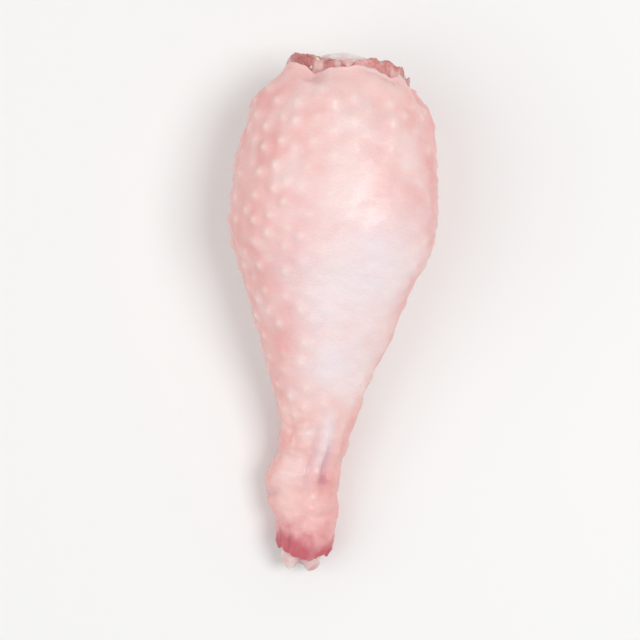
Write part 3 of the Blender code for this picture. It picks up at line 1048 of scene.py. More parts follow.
@dataclass(frozen=True)
class Lobe:
    """One rounded muscle end or lump in a mouth of the skin; its lengths are in mm."""

    degrees: float
    distance: float
    radial: float
    tangential: float
    deep: float
    forward: float

    cut_from: ClassVar[float] = 0.5
    cut_widens: ClassVar[float] = 1.1

    def reach(self, form: LegForm, points: np.ndarray) -> np.ndarray:
        """How far points lie from the lump's middle, as shares of its half sizes."""
        turn = math.radians(self.degrees)
        offset = points - np.array(self.place(form))
        radial = offset[:, 0] * math.cos(turn) + offset[:, 2] * math.sin(turn)
        tangential = offset[:, 2] * math.cos(turn) - offset[:, 0] * math.sin(turn)
        parts = (radial / self.radial, tangential / self.tangential, offset[:, 1] / self.deep)
        return np.sqrt(sum(part**2 for part in parts)) / MM

    def place(self, form: LegForm) -> Vector:
        """The lump's middle."""
        return mouth_place(form, form.knee_edge, self.degrees, self.distance, self.forward)

    def build(self, form: LegForm, name: str, cut: float) -> bpy.types.Object:
        """Models the lump.

        Args:
            form: the leg's outer form.
            name: the lump's name.
            cut: how much of its front is left standing where it was cut, as a share.

        Returns:
            The lump.
        """
        place = self.place(form)
        turned = (0, -math.radians(self.degrees), 0)
        Bench.clear()
        bpy.ops.mesh.primitive_uv_sphere_add(
            segments=28, ring_count=18, radius=1, location=place, rotation=turned
        )
        bpy.context.object.scale = Vector((self.radial, self.deep, self.tangential)) * MM
        lump = Bench.started(name)
        front = place.y + self.deep * MM * self.cut_from
        Bench.pick_faces(lump, lambda centre, normal: centre.y > front)
        pressed = (self.cut_widens, cut, self.cut_widens)
        bpy.ops.transform.resize(value=pressed, center_override=(place.x, front, place.z))
        bpy.ops.object.mode_set(mode="OBJECT")
        return lump


def mouth_place(form: LegForm, along: float, degrees: float, distance: float, forward: float) -> Vector:
    """A place in a mouth of the skin, on its oblique plane.

    Args:
        form: the leg's outer form.
        along: the mouth's place along the leg.
        degrees: the direction round from +X.
        distance: how far from the middle, in mm.
        forward: how far towards +Y from the mouth's plane, in mm.

    Returns:
        The place in the frame.
    """
    here = np.array([along])
    middle = form.middle(here)
    turn = math.radians(degrees)
    offset = np.array([[math.cos(turn) * distance * MM, 0.0, math.sin(turn) * distance * MM]])
    place = middle + offset
    place[:, 1] += form.lean(offset, here) + forward * MM
    return Vector(place[0])


@dataclass(frozen=True)
class Pocket:
    """The inside of the skin, as a wall that the flesh in it touches but doesn't cross."""

    form: LegForm
    wall: BVHTree
    clearance: float = 0.12 * MM
    look_past: float = 1.5 * MM

    @classmethod
    def of(cls, form: LegForm, skin: bpy.types.Object) -> "Pocket":
        """Reads the wall from the finished skin."""
        faces = [tuple(face.vertices) for face in skin.data.polygons]
        return cls(form, BVHTree.FromPolygons(Bench.points(skin).tolist(), faces))

    def hold(self, points: np.ndarray, share: float) -> np.ndarray:
        """Draws in what would cross the skin of the knee's mouth, or stand out wider beyond it.

        Args:
            points: points of the flesh, one row each.
            share: how far out they may lie beyond the mouth, as a share of the skin's radius.

        Returns:
            The same rows, moved where they lay too far out.
        """
        return self.clear_wall(self.form.keep_inside(points, share))

    def clear_wall(self, points: np.ndarray) -> np.ndarray:
        """Draws in what would cross the skin.

        Args:
            points: points of the flesh, one row each.

        Returns:
            The same rows, moved where they lay in or past the skin.
        """
        form = self.form
        along = np.clip((points[:, 1] - form.shift[1]) / form.length, form.ankle_edge, form.knee_edge)
        middle = form.middle(along)
        for point, centre in zip(points, middle):
            start = Vector((centre[0], point[1], centre[2]))
            offset = Vector(point) - start
            distance = self.wall.ray_cast(start, offset, offset.length + self.look_past)[3]
            if distance is not None and distance - self.clearance < offset.length:
                point[:] = start + offset.normalized() * (distance - self.clearance)
        return points


@dataclass(frozen=True)
class KneeMeat:
    """The muscle ends packed round the bone's head inside the skin's knee mouth."""

    form: LegForm
    pocket: Pocket
    voxel: float = 0.40 * MM
    fibre: float = 0.34 * MM
    shred: float = 0.9 * MM
    seam_depth: float = 0.5 * MM
    seam_width: float = 0.09
    cut: float = 0.5
    relax: int = 6
    widest: float = 0.93
    bed_back: float = -6.0
    bed_radius: float = 12.9 * MM
    bed_depth: float = 7 * MM
    bed_inset: float = 3 * MM
    bed_stretch: tuple[float, float, float] = (1.08, 1, 0.94)

    fibre_clouds: ClassVar[tuple[CloudLayer, ...]] = ((1.0, (0.8, 5, 0.8), 2.7), (0.5, 1.6, 9.1))
    shred_clouds: ClassVar[tuple[CloudLayer, ...]] = ((1.0, 3.2, 8.8), (0.4, 1.3, 3.8))
    film_clouds: ClassVar[tuple[CloudLayer, ...]] = ((1.0, (2.2, 4, 2.2), 4.4),)
    # direction in degrees, distance, half sizes outwards, round and along, and how far forward, in mm
    lobes: ClassVar[tuple[Lobe, ...]] = (
        Lobe(52, 11.2, 6.6, 7.5, 6.8, -0.7),
        Lobe(108, 10.9, 6.2, 4.8, 6.4, -1.9),
        Lobe(146, 12.2, 6.5, 5.6, 6.8, -0.4),
        Lobe(190, 12.9, 6.0, 5.4, 6.6, -1.2),
        Lobe(236, 11.4, 6.8, 7.2, 7.0, -0.8),
        Lobe(289, 10.5, 6.6, 5.8, 6.4, -1.7),
        Lobe(335, 12.4, 6.4, 7.0, 6.8, -1.0),
        Lobe(10, 13.2, 5.0, 4.6, 6.4, -1.2),
    )

    def build(self) -> bpy.types.Object:
        """Models each muscle end, fuses them on a common bed, and draws seams and fibres."""
        lumps = [lobe.build(self.form, f"muscle_{n}", self.cut) for n, lobe in enumerate(self.lobes)]
        obj = Bench.fuse("knee_meat", [self._bed(), *lumps], self.voxel, self.relax)
        points = Bench.points(obj)
        reach = np.sort([lobe.reach(self.form, points) for lobe in self.lobes], axis=0)
        seam = bell(reach[1] - reach[0], self.seam_width)
        fibres = clouds(points, self.fibre_clouds)
        height = self.fibre * fibres + self.shred * clouds(points, self.shred_clouds)
        height = height - self.seam_depth * seam
        points = self.pocket.hold(points + Bench.normals(obj) * height[:, None], self.widest)
        Bench.move_points(obj, points)
        film = 0.8 * seam + smooth_step(clouds(points, self.film_clouds), 0.12, 0.34)
        Bench.paint(obj, Mask.CREASE.value, np.clip(0.4 + 1.1 * fibres, 0.0, 1.0))
        Bench.paint(obj, Mask.COOL.value, np.clip(film, 0.0, 1.0))
        return obj

    def _bed(self) -> bpy.types.Object:
        """The flesh behind the muscle ends, a thick disc that fills the skin."""
        place = mouth_place(self.form, self.form.knee_edge, 0, 0, self.bed_back)
        Bench.clear()
        bpy.ops.mesh.primitive_cylinder_add(
            vertices=32, radius=self.bed_radius, depth=self.bed_depth, location=place, rotation=FACING_Y
        )
        bed = Bench.started("bed")
        bpy.ops.transform.resize(value=self.bed_stretch, center_override=place)
        Bench.pick_faces(bed, lambda centre, normal: abs(normal.y) > abs(normal.x) + abs(normal.z))
        bpy.ops.mesh.inset(thickness=self.bed_inset)
        bpy.ops.object.mode_set(mode="OBJECT")
        points = Bench.points(bed)
        here = np.full(len(points), self.form.knee_edge)
        points[:, 1] += self.form.lean(points - np.array(place), here)
        Bench.move_points(bed, points)
        return bed


@dataclass(frozen=True)
class KneeLumps:
    """Soft lumps in the knee's mouth that run together: the fat, or the torn ends of the tendons."""

    form: LegForm
    pocket: Pocket
    name: str
    lobes: Sequence[Lobe]
    voxel: float = 0.32 * MM
    knobs: float = 0.45 * MM
    cut: float = 0.8
    relax: int = 3
    widest: float = 0.94

    seed: ClassVar[int] = 5
    strip_step: ClassVar[int] = 5
    knob_clouds: ClassVar[tuple[CloudLayer, ...]] = ((1.0, 1.5, 3.3), (0.45, 0.8, 6.6))
    blood_clouds: ClassVar[tuple[CloudLayer, ...]] = ((1.0, 1.6, 7.7),)
    fat_strips: ClassVar[tuple[tuple[int, int, float], ...]] = (
        # from and to, in degrees round from +X, and the distance from the middle (mm)
        (183, 229, 13.0),
        (250, 268, 11.4),
        (128, 150, 12.2),
        (324, 350, 12.8),
        (24, 40, 12.8),
    )

    def build(self) -> bpy.types.Object:
        """Models the lumps, fuses those that touch, and makes them knobbly."""
        lumps = [lobe.build(self.form, f"lump_{n}", self.cut) for n, lobe in enumerate(self.lobes)]
        obj = Bench.fuse(self.name, lumps, self.voxel, self.relax)
        points = Bench.points(obj)
        knobs = self.knobs * clouds(points, self.knob_clouds)
        points = self.pocket.hold(points + Bench.normals(obj) * knobs[:, None], self.widest)
        Bench.move_points(obj, points)
        Bench.paint(obj, Mask.ROSY.value, smooth_step(clouds(points, self.blood_clouds), 0.0, 0.34))
        return obj

    @classmethod
    def fat(cls, form: LegForm, pocket: Pocket) -> "KneeLumps":
        """The fat that shows in strips between the muscle ends and the skin's edge."""
        rng = random.Random(cls.seed)
        lobes = []
        for start, end, distance in cls.fat_strips:
            for step in range(round((end - start) / cls.strip_step)):
                across, size = rng.uniform(0.8, 1.5), rng.uniform(1.2, 2.0)
                place = distance + rng.uniform(-0.5, 0.4)
                deep, forward = rng.uniform(1.8, 2.6), rng.uniform(0.9, 1.9)
                lobes.append(Lobe(start + cls.strip_step * step, place, across, size, deep, forward))
        return cls(form, pocket, "knee_fat", lobes)

    @classmethod
    def tendons(cls, form: LegForm, pocket: Pocket) -> "KneeLumps":
        """The torn tendon in front of the bone's head, and the ligaments' stubs at its sides."""
        lobes = (
            Lobe(88, 11.4, 1.0, 3.4, 2.8, 0.8),
            Lobe(96, 10.4, 1.1, 2.0, 2.6, 1.4),
            Lobe(80, 10.2, 1.0, 2.1, 2.4, 1.7),
            Lobe(89, 9.4, 0.9, 2.4, 2.2, 2.1),
            Lobe(172, 11.1, 0.9, 1.8, 2.4, 2.0),
            Lobe(181, 11.6, 0.8, 1.5, 1.9, 1.7),
            Lobe(4, 11.1, 0.9, 1.9, 2.3, 1.9),
        )
        return cls(form, pocket, "knee_tendon", lobes, voxel=0.28 * MM, knobs=0.35 * MM, cut=0.7)


@dataclass(frozen=True)
class AnkleTendons:
    """The cut tendons that stand out of the ankle's sleeve beside the bone."""

    form: LegForm
    pocket: Pocket
    reach_back: float = 6.0
    splay: float = 0.25
    edge_inset: float = 0.16
    edge_bulge: float = 0.08

    swell: ClassVar[tuple[float, ...]] = (1.0, 1.08, 1.02, 1.12, 0.86)
    shred_clouds: ClassVar[tuple[CloudLayer, ...]] = ((0.16 * MM, (0.7, 2.0, 0.7), 1.9),)
    blood_clouds: ClassVar[tuple[CloudLayer, ...]] = ((1.0, 1.5, 2.9),)
    stubs: ClassVar[tuple[tuple[float, float, float, float], ...]] = (
        # degrees round from +X, distance from the middle, thickness, how far out (mm)
        (116, 4.65, 2.1, 0.3),
        (62, 4.80, 1.7, 0.1),
        (246, 4.50, 2.2, 0.9),
        (288, 4.50, 1.6, 0.3),
    )

    def build(self) -> bpy.types.Object:
        """Models each stub as a short rounded cord with a blunt cut end, and joins them."""
        parts = []
        for number, (degrees, distance, thickness, out) in enumerate(self.stubs):
            edge = self.form.ankle_edge
            inner = mouth_place(self.form, edge, degrees, distance, self.reach_back)
            outer = mouth_place(self.form, edge, degrees, distance + self.splay * out, -out)
            parts.append(self._stub(number, inner, outer, thickness * MM))
        Bench.take(*parts)
        bpy.ops.object.join()
        obj = bpy.context.object
        obj.name = obj.data.name = "ankle_tendons"
        points = Bench.points(obj)
        shreds = clouds(points, self.shred_clouds)
        Bench.move_points(obj, self.pocket.clear_wall(points + Bench.normals(obj) * shreds[:, None]))
        Bench.paint(obj, Mask.ROSY.value, smooth_step(clouds(points, self.blood_clouds), 0.05, 0.3))
        return obj

    def _stub(self, number: int, inner: Vector, outer: Vector, thickness: float) -> bpy.types.Object:
        """One tendon from inside the sleeve to its cut end."""
        run = outer - inner
        Bench.clear()
        bpy.ops.mesh.primitive_circle_add(
            vertices=10, radius=thickness / 2, fill_type="NGON", location=inner, rotation=FACING_Y
        )
        stub = Bench.started(f"tendon_{number}")
        for step, grown in enumerate(self.swell, 1):
            bpy.ops.mesh.extrude_region_move(TRANSFORM_OT_translate={"value": run / len(self.swell)})
            place = inner + run * step / len(self.swell)
            bpy.ops.transform.resize(value=(grown, grown, grown), center_override=place)
        bpy.ops.mesh.inset(thickness=thickness * self.edge_inset)
        bpy.ops.transform.translate(value=-run.normalized() * thickness * self.edge_bulge)
        bpy.ops.object.mode_set(mode="OBJECT")
        Bench.close(stub)
        Bench.subdivide(stub, 2)
        return stub


@dataclass(frozen=True)
class AnkleFlesh:
    """The wet red flesh that lines the ankle's sleeve round the bone."""

    form: LegForm
    pocket: Pocket
    thickness: float = 1.5 * MM
    radius: float = 4.55 * MM
    inside: float = 2.0
    stretch: tuple[float, float, float] = (1.06, 2.2, 0.94)

    lump_clouds: ClassVar[tuple[CloudLayer, ...]] = ((0.5 * MM, 1.4, 2.4), (0.2 * MM, 0.7, 4.8))
    fibre_clouds: ClassVar[tuple[CloudLayer, ...]] = ((1.0, 0.9, 1.1),)
    film_clouds: ClassVar[tuple[CloudLayer, ...]] = ((1.0, 1.8, 3.8),)

    def build(self) -> bpy.types.Object:
        """Models a lumpy ring inside the sleeve's mouth."""
        edge = self.form.ankle_edge
        place = mouth_place(self.form, edge, 0, 0, self.inside)
        Bench.clear()
        bpy.ops.mesh.primitive_torus_add(
            major_segments=48,
            minor_segments=12,
            major_radius=self.radius,
            minor_radius=self.thickness / 2,
            location=place,
            rotation=FACING_Y,
        )
        obj = Bench.started("ankle_flesh")
        bpy.ops.transform.resize(value=self.stretch, center_override=place)
        bpy.ops.object.mode_set(mode="OBJECT")
        Bench.subdivide(obj, 2)
        points = Bench.points(obj)
        offset = points - np.array(place)
        points[:, 1] += self.form.lean(offset, np.full(len(points), edge))
        lumps = clouds(points, self.lump_clouds)
        Bench.move_points(obj, self.pocket.clear_wall(points + Bench.normals(obj) * lumps[:, None]))
        Bench.paint(obj, Mask.CREASE.value, np.clip(0.5 + clouds(points, self.fibre_clouds), 0.0, 1.0))
        Bench.paint(obj, Mask.COOL.value, smooth_step(clouds(points, self.film_clouds), 0.12, 0.3))
        return obj


class Graph:
    """Lays out shader nodes: each one is added with its settings and what goes into it."""

    def __init__(self, tree: bpy.types.NodeTree) -> None:
        """Works in this tree."""
        self.tree = tree

    def feed(self, socket: bpy.types.NodeSocket, value: Any) -> None:
        """Links another node's output to a socket, or sets the socket's own value."""
        if isinstance(value, bpy.types.NodeSocket):
            self.tree.links.new(value, socket)
        else:
            socket.default_value = (*value, 1.0) if socket.type == "RGBA" else value

    def add(self, kind: str, inputs: dict[Any, Any], **settings: Any) -> bpy.types.Node:
        """Adds a node.

        Args:
            kind: the node's type.
            inputs: values or other nodes' outputs for its sockets, by name or number.
            settings: its own properties.

        Returns:
            The node.
        """
        node = self.tree.nodes.new(kind)
        for name, value in settings.items():
            setattr(node, name, value)
        for name, value in inputs.items():
            self.feed(node.inputs[name], value)
        return node

    def group(self, tree: bpy.types.NodeTree, inputs: dict[Any, Any]) -> Any:
        """Adds one of the shared groups, and gives its outputs."""
        return self.add("ShaderNodeGroup", inputs, node_tree=tree).outputs

    def mix(self, share: Any, low: Any, high: Any) -> bpy.types.NodeSocket:
        """Mixes two colours by a share, and gives the result."""
        factor, first, second, result = 0, 6, 7, 2
        inputs = {factor: share, first: low, second: high}
        return self.add("ShaderNodeMix", inputs, data_type="RGBA").outputs[result]

    def math(self, operation: str, first: Any, second: Any, clamp: bool = False) -> bpy.types.NodeSocket:
        """Works out one value from two others."""
        node = self.add("ShaderNodeMath", {0: first, 1: second}, operation=operation, use_clamp=clamp)
        return node.outputs[0]

    def vector(self, operation: str, first: Any, second: Any) -> bpy.types.NodeSocket:
        """Works out one vector from two others."""
        return self.add("ShaderNodeVectorMath", {0: first, 1: second}, operation=operation).outputs[0]

    def noise(self, place: Any, scale: Any, detail: float, roughness: float = 0.5) -> bpy.types.Node:
        """Adds a noise texture."""
        inputs = {"Vector": place, "Scale": scale, "Detail": detail, "Roughness": roughness}
        return self.add("ShaderNodeTexNoise", inputs)

    def soften(self, value: Any, low: float, high: float) -> bpy.types.NodeSocket:
        """Rises smoothly from 0 at the low value to 1 at the high one."""
        inputs = {"Value": value, "From Min": low, "From Max": high}
        return self.add("ShaderNodeMapRange", inputs, interpolation_type="SMOOTHSTEP").outputs[0]

    def mask(self, mask: Mask) -> bpy.types.NodeSocket:
        """What was painted on the vertices."""
        return self.add("ShaderNodeAttribute", {}, attribute_name=mask.value).outputs["Fac"]

    def place(self) -> bpy.types.NodeSocket:
        """Places in the object's own metres."""
        return self.add("ShaderNodeTexCoord", {}).outputs["Object"]


class Effects:
    """The node groups that several finishes share."""

    bend: ClassVar[float] = 0.9 * MM
    bend_scale: ClassVar[float] = 350.0
    ridge_width: ClassVar[float] = 0.22

    @staticmethod
    def _group(name: str, ins: Sequence[tuple[str, str, Any]], outs: Sequence[tuple[str, str]]) -> tuple:
        """Starts a group.

        Args:
            name: the group's name.
            ins: its inputs, each with a name, a kind and a default.
            outs: its outputs, each with a name and a kind.

        Returns:
            The group's tree, the graph that works in it, what comes in and what goes out.
        """
        tree = bpy.data.node_groups.new(name, "ShaderNodeTree")
        for label, kind, default in ins:
            socket = tree.interface.new_socket(label, in_out="INPUT", socket_type=f"NodeSocket{kind}")
            socket.default_value = default
        for label, kind in outs:
            tree.interface.new_socket(label, in_out="OUTPUT", socket_type=f"NodeSocket{kind}")
        graph = Graph(tree)
        given = graph.add("NodeGroupInput", {}).outputs
        return tree, graph, given, graph.add("NodeGroupOutput", {}).inputs

    @staticmethod
    def mottle() -> bpy.types.NodeTree:
        """Two colours in soft patches, with finer speckles of the second one."""
        name = "flesh_mottle"
        if name in bpy.data.node_groups:
            return bpy.data.node_groups[name]
        tree, graph, given, result = Effects._group(
            name,
            (
                ("Place", "Vector", (0.0, 0.0, 0.0)),
                ("Patch Scale", "Float", 90.0),
                ("Speckle Scale", "Float", 900.0),
                ("Speckle", "Float", 0.3),
                ("Pale", "Color", (1.0, 1.0, 1.0, 1.0)),
                ("Deep", "Color", (0.8, 0.4, 0.4, 1.0)),
            ),
            (("Colour", "Color"),),
        )
        patch = graph.noise(given["Place"], given["Patch Scale"], detail=3.0, roughness=0.55)
        speckle = graph.noise(given["Place"], given["Speckle Scale"], detail=2.0, roughness=0.6)
        soft = graph.soften(patch.outputs[0], 0.34, 0.68)
        fine = graph.soften(speckle.outputs[0], 0.45, 0.75)
        share = graph.math("ADD", soft, graph.math("MULTIPLY", fine, given["Speckle"]), clamp=True)
        graph.feed(result["Colour"], graph.mix(share, given["Pale"], given["Deep"]))
        return tree

    @staticmethod
    def moisture() -> bpy.types.NodeTree:
        """Where a surface is wet, as a roughness and as a share of wet film."""
        name = "moisture"
        if name in bpy.data.node_groups:
            return bpy.data.node_groups[name]
        tree, graph, given, result = Effects._group(
            name,
            (
                ("Place", "Vector", (0.0, 0.0, 0.0)),
                ("Scale", "Float", 140.0),
                ("Dry", "Float", 0.5),
                ("Wet", "Float", 0.3),
                ("Film", "Float", 0.5),
            ),
            (("Roughness", "Float"), ("Film", "Float")),
        )
        wet = graph.soften(graph.noise(given["Place"], given["Scale"], detail=4.0).outputs[0], 0.36, 0.64)
        span = graph.math("SUBTRACT", given["Wet"], given["Dry"])
        half = graph.math("MULTIPLY", given["Film"], 0.5)
        graph.feed(result["Roughness"], graph.math("ADD", given["Dry"], graph.math("MULTIPLY", wet, span)))
        graph.feed(result["Film"], graph.math("ADD", half, graph.math("MULTIPLY", wet, half)))
        return tree

    @staticmethod
    def fine_relief() -> bpy.types.NodeTree:
        """Fine wrinkles between small cells, longer one way than the other."""
        name = "fine_relief"
        if name in bpy.data.node_groups:
            return bpy.data.node_groups[name]
        tree, graph, given, result = Effects._group(
            name,
            (
                ("Place", "Vector", (0.0, 0.0, 0.0)),
                ("Stretch", "Vector", (1.0, 1.0, 1.0)),
                ("Cells", "Float", 900.0),
                ("Grain", "Float", 2200.0),
                ("Grain Share", "Float", 0.4),
            ),
            (("Height", "Float"),),
        )
        stretched = graph.vector("MULTIPLY", given["Place"], given["Stretch"])
        bends = graph.noise(given["Place"], Effects.bend_scale, detail=1.0)
        bent = graph.vector("MULTIPLY", bends.outputs["Color"], (Effects.bend,) * 3)
        cells = graph.add(
            "ShaderNodeTexVoronoi",
            {"Vector": graph.vector("ADD", stretched, bent), "Scale": given["Cells"]},
            feature="DISTANCE_TO_EDGE",
        )
        grain = graph.noise(stretched, given["Grain"], detail=3.0, roughness=0.6)
        ridge = graph.soften(cells.outputs["Distance"], 0.0, Effects.ridge_width)
        grains = graph.math("MULTIPLY", grain.outputs[0], given["Grain Share"])
        graph.feed(result["Height"], graph.math("ADD", ridge, grains))
        return tree


@dataclass(frozen=True)
class Finish:
    """How a raw surface looks: its colours, the light under it, its wetness and its fine relief."""

    name: str
    pale: Colour
    deep: Colour
    patch_scale: float = 90.0
    speckle_scale: float = 900.0
    speckle: float = 0.3
    dry: float = 0.5
    wet: float = 0.32
    film: float = 0.5
    moisture_scale: float = 140.0
    stretch: Colour = (1.0, 1.0, 1.0)
    cells: float = 900.0
    grain: float = 2200.0
    grain_share: float = 0.4
    relief: float = 0.05 * MM
    relief_strength: float = 0.6
    glow: float = 0.3
    glow_depth: float = 2.5 * MM
    glow_colour: Colour = (1.0, 0.36, 0.24)
    coat_roughness: float = 0.16
    coat_ior: float = 1.36
    ior: float = 1.4

    def layers(self) -> Sequence[tuple[Mask, float, Colour]]:
        """The painted colours laid over the mottle: mask, greatest share and colour."""
        return ()

    def tint(self, graph: Graph, colour: bpy.types.NodeSocket) -> bpy.types.NodeSocket:
        """Lays the finish's painted colours over its mottle, in order."""
        for mask, most, tint in self.layers():
            share = graph.math("MULTIPLY", graph.mask(mask), most, clamp=True)
            colour = graph.mix(share, colour, tint)
        return colour

    def build(self) -> bpy.types.Material:
        """Makes the material."""
        material = bpy.data.materials.new(self.name)
        material.use_nodes = True
        material.diffuse_color = (*self.pale, 1.0)
        graph = Graph(material.node_tree)
        place = graph.place()
        mottle = graph.group(
            Effects.mottle(),
            {
                "Place": place,
                "Patch Scale": self.patch_scale,
                "Speckle Scale": self.speckle_scale,
                "Speckle": self.speckle,
                "Pale": self.pale,
                "Deep": self.deep,
            },
        )
        moisture = graph.group(
            Effects.moisture(),
            {
                "Place": place,
                "Scale": self.moisture_scale,
                "Dry": self.dry,
                "Wet": self.wet,
                "Film": self.film,
            },
        )
        relief = graph.group(
            Effects.fine_relief(),
            {
                "Place": place,
                "Stretch": self.stretch,
                "Cells": self.cells,
                "Grain": self.grain,
                "Grain Share": self.grain_share,
            },
        )
        bump = graph.add(
            "ShaderNodeBump",
            {"Height": relief["Height"], "Distance": self.relief, "Strength": self.relief_strength},
        )
        looks = {
            "Base Color": self.tint(graph, mottle["Colour"]),
            "Roughness": moisture["Roughness"],
            "IOR": self.ior,
            "Normal": bump.outputs["Normal"],
            "Subsurface Weight": self.glow,
            "Subsurface Radius": self.glow_colour,
            "Subsurface Scale": self.glow_depth,
            "Coat Weight": moisture["Film"],
            "Coat Roughness": self.coat_roughness,
            "Coat IOR": self.coat_ior,
        }
        shader = material.node_tree.nodes["Principled BSDF"]
        for name, value in looks.items():
            graph.feed(shader.inputs[name], value)
        return material


@dataclass(frozen=True)
class SkinFinish(Finish):
    """Raw chicken skin: cream over pink flesh, with pale pimples that carry a painted highlight on their
    tips, painted shade in the creases and at the edges, a bluish painted highlight and a wet red edge.
    """

    # pink of the flesh, also laid on as painted shade
    blush_and_shade: Colour = (0.845, 0.385, 0.365)
    # cream of the pimples, partly a painted highlight
    follicle_cream_and_highlight: Colour = (0.98, 0.83, 0.77)
    # painted shade in the creases
    crease_shade_and_fibre: Colour = (0.84, 0.50, 0.48)
    rosy: Colour = (0.55, 0.10, 0.135)
    # veins, and painted shade in grooves
    vein_and_shade: Colour = (0.62, 0.33, 0.42)
    # a bluish tint, mostly a painted highlight
    cool_and_highlight: Colour = (0.90, 0.83, 0.88)

    def layers(self) -> Sequence[tuple[Mask, float, Colour]]:
        """Pink flesh with painted shade, a bluish painted highlight, painted shade in the creases, pimples
        with a painted highlight on their tips, veins with painted shade in their grooves, and the red edge.
        """
        return (
            (Mask.BLUSH, 0.88, self.blush_and_shade),
            (Mask.COOL, 0.72, self.cool_and_highlight),
            (Mask.CREASE, 0.16, self.crease_shade_and_fibre),
            (Mask.FOLLICLE, 0.48, self.follicle_cream_and_highlight),
            (Mask.VEIN, 0.75, self.vein_and_shade),
            (Mask.ROSY, 0.94, self.rosy),
        )


@dataclass(frozen=True)
class CartilageFinish(Finish):
    """Wet cartilage: milky white, bluish in its hollows, with blood at its rim."""

    blood: Colour = (0.62, 0.20, 0.20)
    blue: Colour = (0.66, 0.70, 0.78)

    def layers(self) -> Sequence[tuple[Mask, float, Colour]]:
        """The hollows' blue and the rim's blood."""
        return ((Mask.COOL, 0.7, self.blue), (Mask.ROSY, 0.65, self.blood))


@dataclass(frozen=True)
class MeatFinish(Finish):
    """Raw dark meat: rosy, with darker fibres and a whitish film here and there."""

    dark: Colour = (0.42, 0.12, 0.11)
    film_colour: Colour = (0.86, 0.68, 0.66)

    def layers(self) -> Sequence[tuple[Mask, float, Colour]]:
        """The dark fibres and the whitish film."""
        return ((Mask.CREASE, 0.55, self.dark), (Mask.COOL, 0.5, self.film_colour))


@dataclass(frozen=True)
class FattyFinish(Finish):
    """Fat or tendon: cream or white, faintly bloody in its hollows."""

    blood: Colour = (0.72, 0.30, 0.26)

    def layers(self) -> Sequence[tuple[Mask, float, Colour]]:
        """The blood in the hollows."""
        return ((Mask.ROSY, 0.5, self.blood),)


SKIN = SkinFinish(
    "raw_skin",
    pale=(0.94, 0.765, 0.745),
    deep=(0.92, 0.66, 0.63),
    patch_scale=85,
    speckle=0.25,
    dry=0.50,
    wet=0.38,
    film=0.42,
    stretch=(0.8, 1.5, 0.8),
    cells=850,
    relief=0.07 * MM,
    relief_strength=0.45,
    glow=0.16,
    glow_depth=1.4 * MM,
)
CARTILAGE = CartilageFinish(
    "cartilage",
    pale=(0.88, 0.82, 0.80),
    deep=(0.86, 0.74, 0.71),
    patch_scale=170,
    speckle=0.15,
    dry=0.24,
    wet=0.10,
    film=1.0,
    cells=1500,
    relief=0.03 * MM,
    glow=0.45,
    glow_colour=(1.0, 0.62, 0.5),
)
MEAT = MeatFinish(
    "raw_meat",
    pale=(0.74, 0.33, 0.31),
    deep=(0.58, 0.19, 0.18),
    patch_scale=220,
    dry=0.36,
    wet=0.2,
    film=0.8,
    stretch=(1.6, 0.35, 1.6),
    cells=1400,
    relief=0.07 * MM,
    glow=0.35,
)
FAT = FattyFinish(
    "poultry_fat",
    pale=(0.93, 0.81, 0.62),
    deep=(0.90, 0.68, 0.52),
    patch_scale=300,
    dry=0.38,
    wet=0.22,
    film=0.7,
    cells=1600,
    relief=0.05 * MM,
    glow=0.5,
    glow_colour=(1.0, 0.6, 0.35),
)
TENDON = FattyFinish(
    "tendon",
    pale=(0.88, 0.72, 0.69),
    deep=(0.84, 0.56, 0.54),
    patch_scale=420,
    dry=0.34,
    wet=0.2,
    film=0.8,
    stretch=(2.2, 0.4, 2.2),
    cells=1800,
    relief=0.05 * MM,
    glow=0.4,
    glow_colour=(1.0, 0.6, 0.5),
)


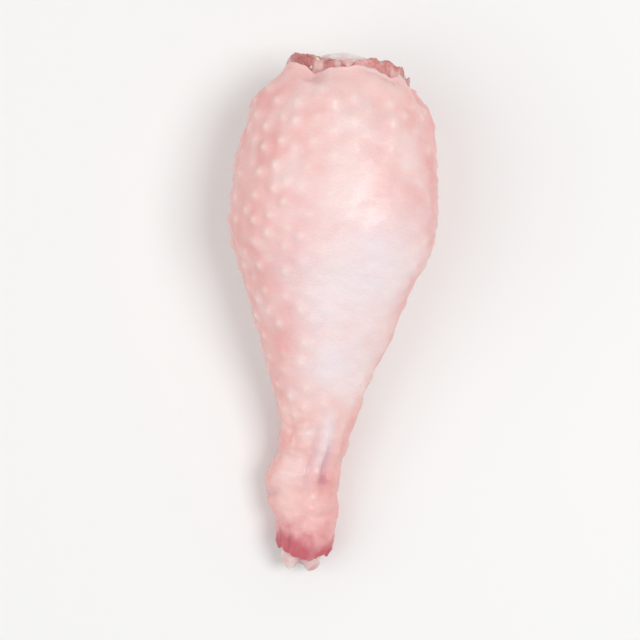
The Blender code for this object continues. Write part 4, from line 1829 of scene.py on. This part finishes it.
@dataclass(frozen=True)
class Studio:
    """A pale floor, soft light from above and a camera that looks straight down."""

    view_height: float = 144 * MM
    lens: float = 100.0
    sensor: float = 36.0
    roll: float = math.radians(7.0)
    focus: float = 20 * MM
    floor_size: float = 3.0
    floor_colour: Colour = (0.90, 0.90, 0.89)
    floor_roughness: float = 0.6
    floor_gloss: float = 0.2
    room_strength: float = 0.50

    lights: ClassVar[tuple[tuple[str, Colour, float, float, Colour], ...]] = (
        # name, place, size, power, colour
        ("key", (0.46, 0.10, 0.95), 0.46, 4.6, (1.0, 0.995, 0.99)),
        ("fill", (-0.84, -0.24, 0.90), 1.20, 4.8, (1.0, 0.995, 0.99)),
        ("back", (0.10, 1.10, 0.70), 1.00, 0.6, (1.0, 1.0, 1.0)),
    )

    def build(self) -> None:
        """Sets the floor, the lights, the camera and the way that colours are shown."""
        self._floor()
        for light in self.lights:
            self._light(*light)
        self._surroundings()
        self._camera()
        bpy.context.scene.view_settings.view_transform = "Standard"

    def _floor(self) -> None:
        """A pale matt surface under the drumstick."""
        Bench.clear()
        bpy.ops.mesh.primitive_plane_add(size=self.floor_size, location=(0, 0, 0))
        floor = bpy.context.object
        floor.name = "floor"
        material = bpy.data.materials.new("pale_floor")
        material.use_nodes = True
        shader = material.node_tree.nodes["Principled BSDF"]
        shader.inputs["Base Color"].default_value = (*self.floor_colour, 1.0)
        shader.inputs["Roughness"].default_value = self.floor_roughness
        shader.inputs["Specular IOR Level"].default_value = self.floor_gloss
        floor.data.materials.append(material)

    @staticmethod
    def _light(name: str, place: Colour, size: float, power: float, colour: Colour) -> None:
        """A square soft light that points at the drumstick."""
        data = bpy.data.lights.new(name, "AREA")
        data.size, data.energy, data.color = size, power, colour
        light = bpy.data.objects.new(name, data)
        light.location = place
        light.rotation_euler = (-Vector(place)).to_track_quat("-Z", "Y").to_euler()
        bpy.context.scene.collection.objects.link(light)

    def _surroundings(self) -> None:
        """White surroundings that fill the shadows."""
        world = bpy.data.worlds.new("white_room")
        world.use_nodes = True
        background = world.node_tree.nodes["Background"]
        background.inputs["Color"].default_value = (1.0, 1.0, 1.0, 1.0)
        background.inputs["Strength"].default_value = self.room_strength
        bpy.context.scene.world = world

    def _camera(self) -> None:
        """A long lens straight above, turned so that the leg leans as in the photograph."""
        data = bpy.data.cameras.new("camera")
        data.lens, data.sensor_width = self.lens, self.sensor
        camera = bpy.data.objects.new("camera", data)
        height = self.view_height * self.lens / self.sensor
        camera.location = (0.0, 0.0, height + self.focus)
        camera.rotation_euler = (0.0, 0.0, self.roll)
        bpy.context.scene.collection.objects.link(camera)
        bpy.context.scene.camera = camera


def hand_over(
    obj: bpy.types.Object, finish: bpy.types.Material, stands_for: Solid | None = None
) -> None:
    """Gives a piece its finish and its place on the frame, and reports it.

    Args:
        obj: the finished piece.
        finish: its material.
        stands_for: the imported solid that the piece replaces, if any.
    """
    Bench.take(obj)
    bpy.ops.object.shade_smooth()
    obj.data.materials.clear()
    obj.data.materials.append(finish)
    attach(obj, "root")
    if stands_for:
        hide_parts(stands_for.value)
    triangles = sum(len(face.vertices) - 2 for face in obj.data.polygons)
    log.info("%s: %d triangles", obj.name, triangles)


def main() -> None:
    """Builds the pieces in order, dresses them and sets the studio round them."""
    logging.basicConfig(level=logging.INFO, format="%(name)s: %(message)s")
    form = LegForm.fitted(*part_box(Solid.MEAT.value))
    skin, cartilage, meat, fat, tendon = (finish.build() for finish in (SKIN, CARTILAGE, MEAT, FAT, TENDON))
    wrap = DrumstickSkin(form).build()
    pocket = Pocket.of(form, wrap)
    hand_over(wrap, skin, Solid.MEAT)
    hand_over(ShinBone(form).build(), cartilage, Solid.BONE)
    hand_over(KneeMeat(form, pocket).build(), meat)
    hand_over(KneeLumps.fat(form, pocket).build(), fat)
    hand_over(KneeLumps.tendons(form, pocket).build(), tendon)
    hand_over(AnkleFlesh(form, pocket).build(), meat)
    hand_over(AnkleTendons(form, pocket).build(), tendon)
    Studio().build()


if __name__ == "__main__":
    main()
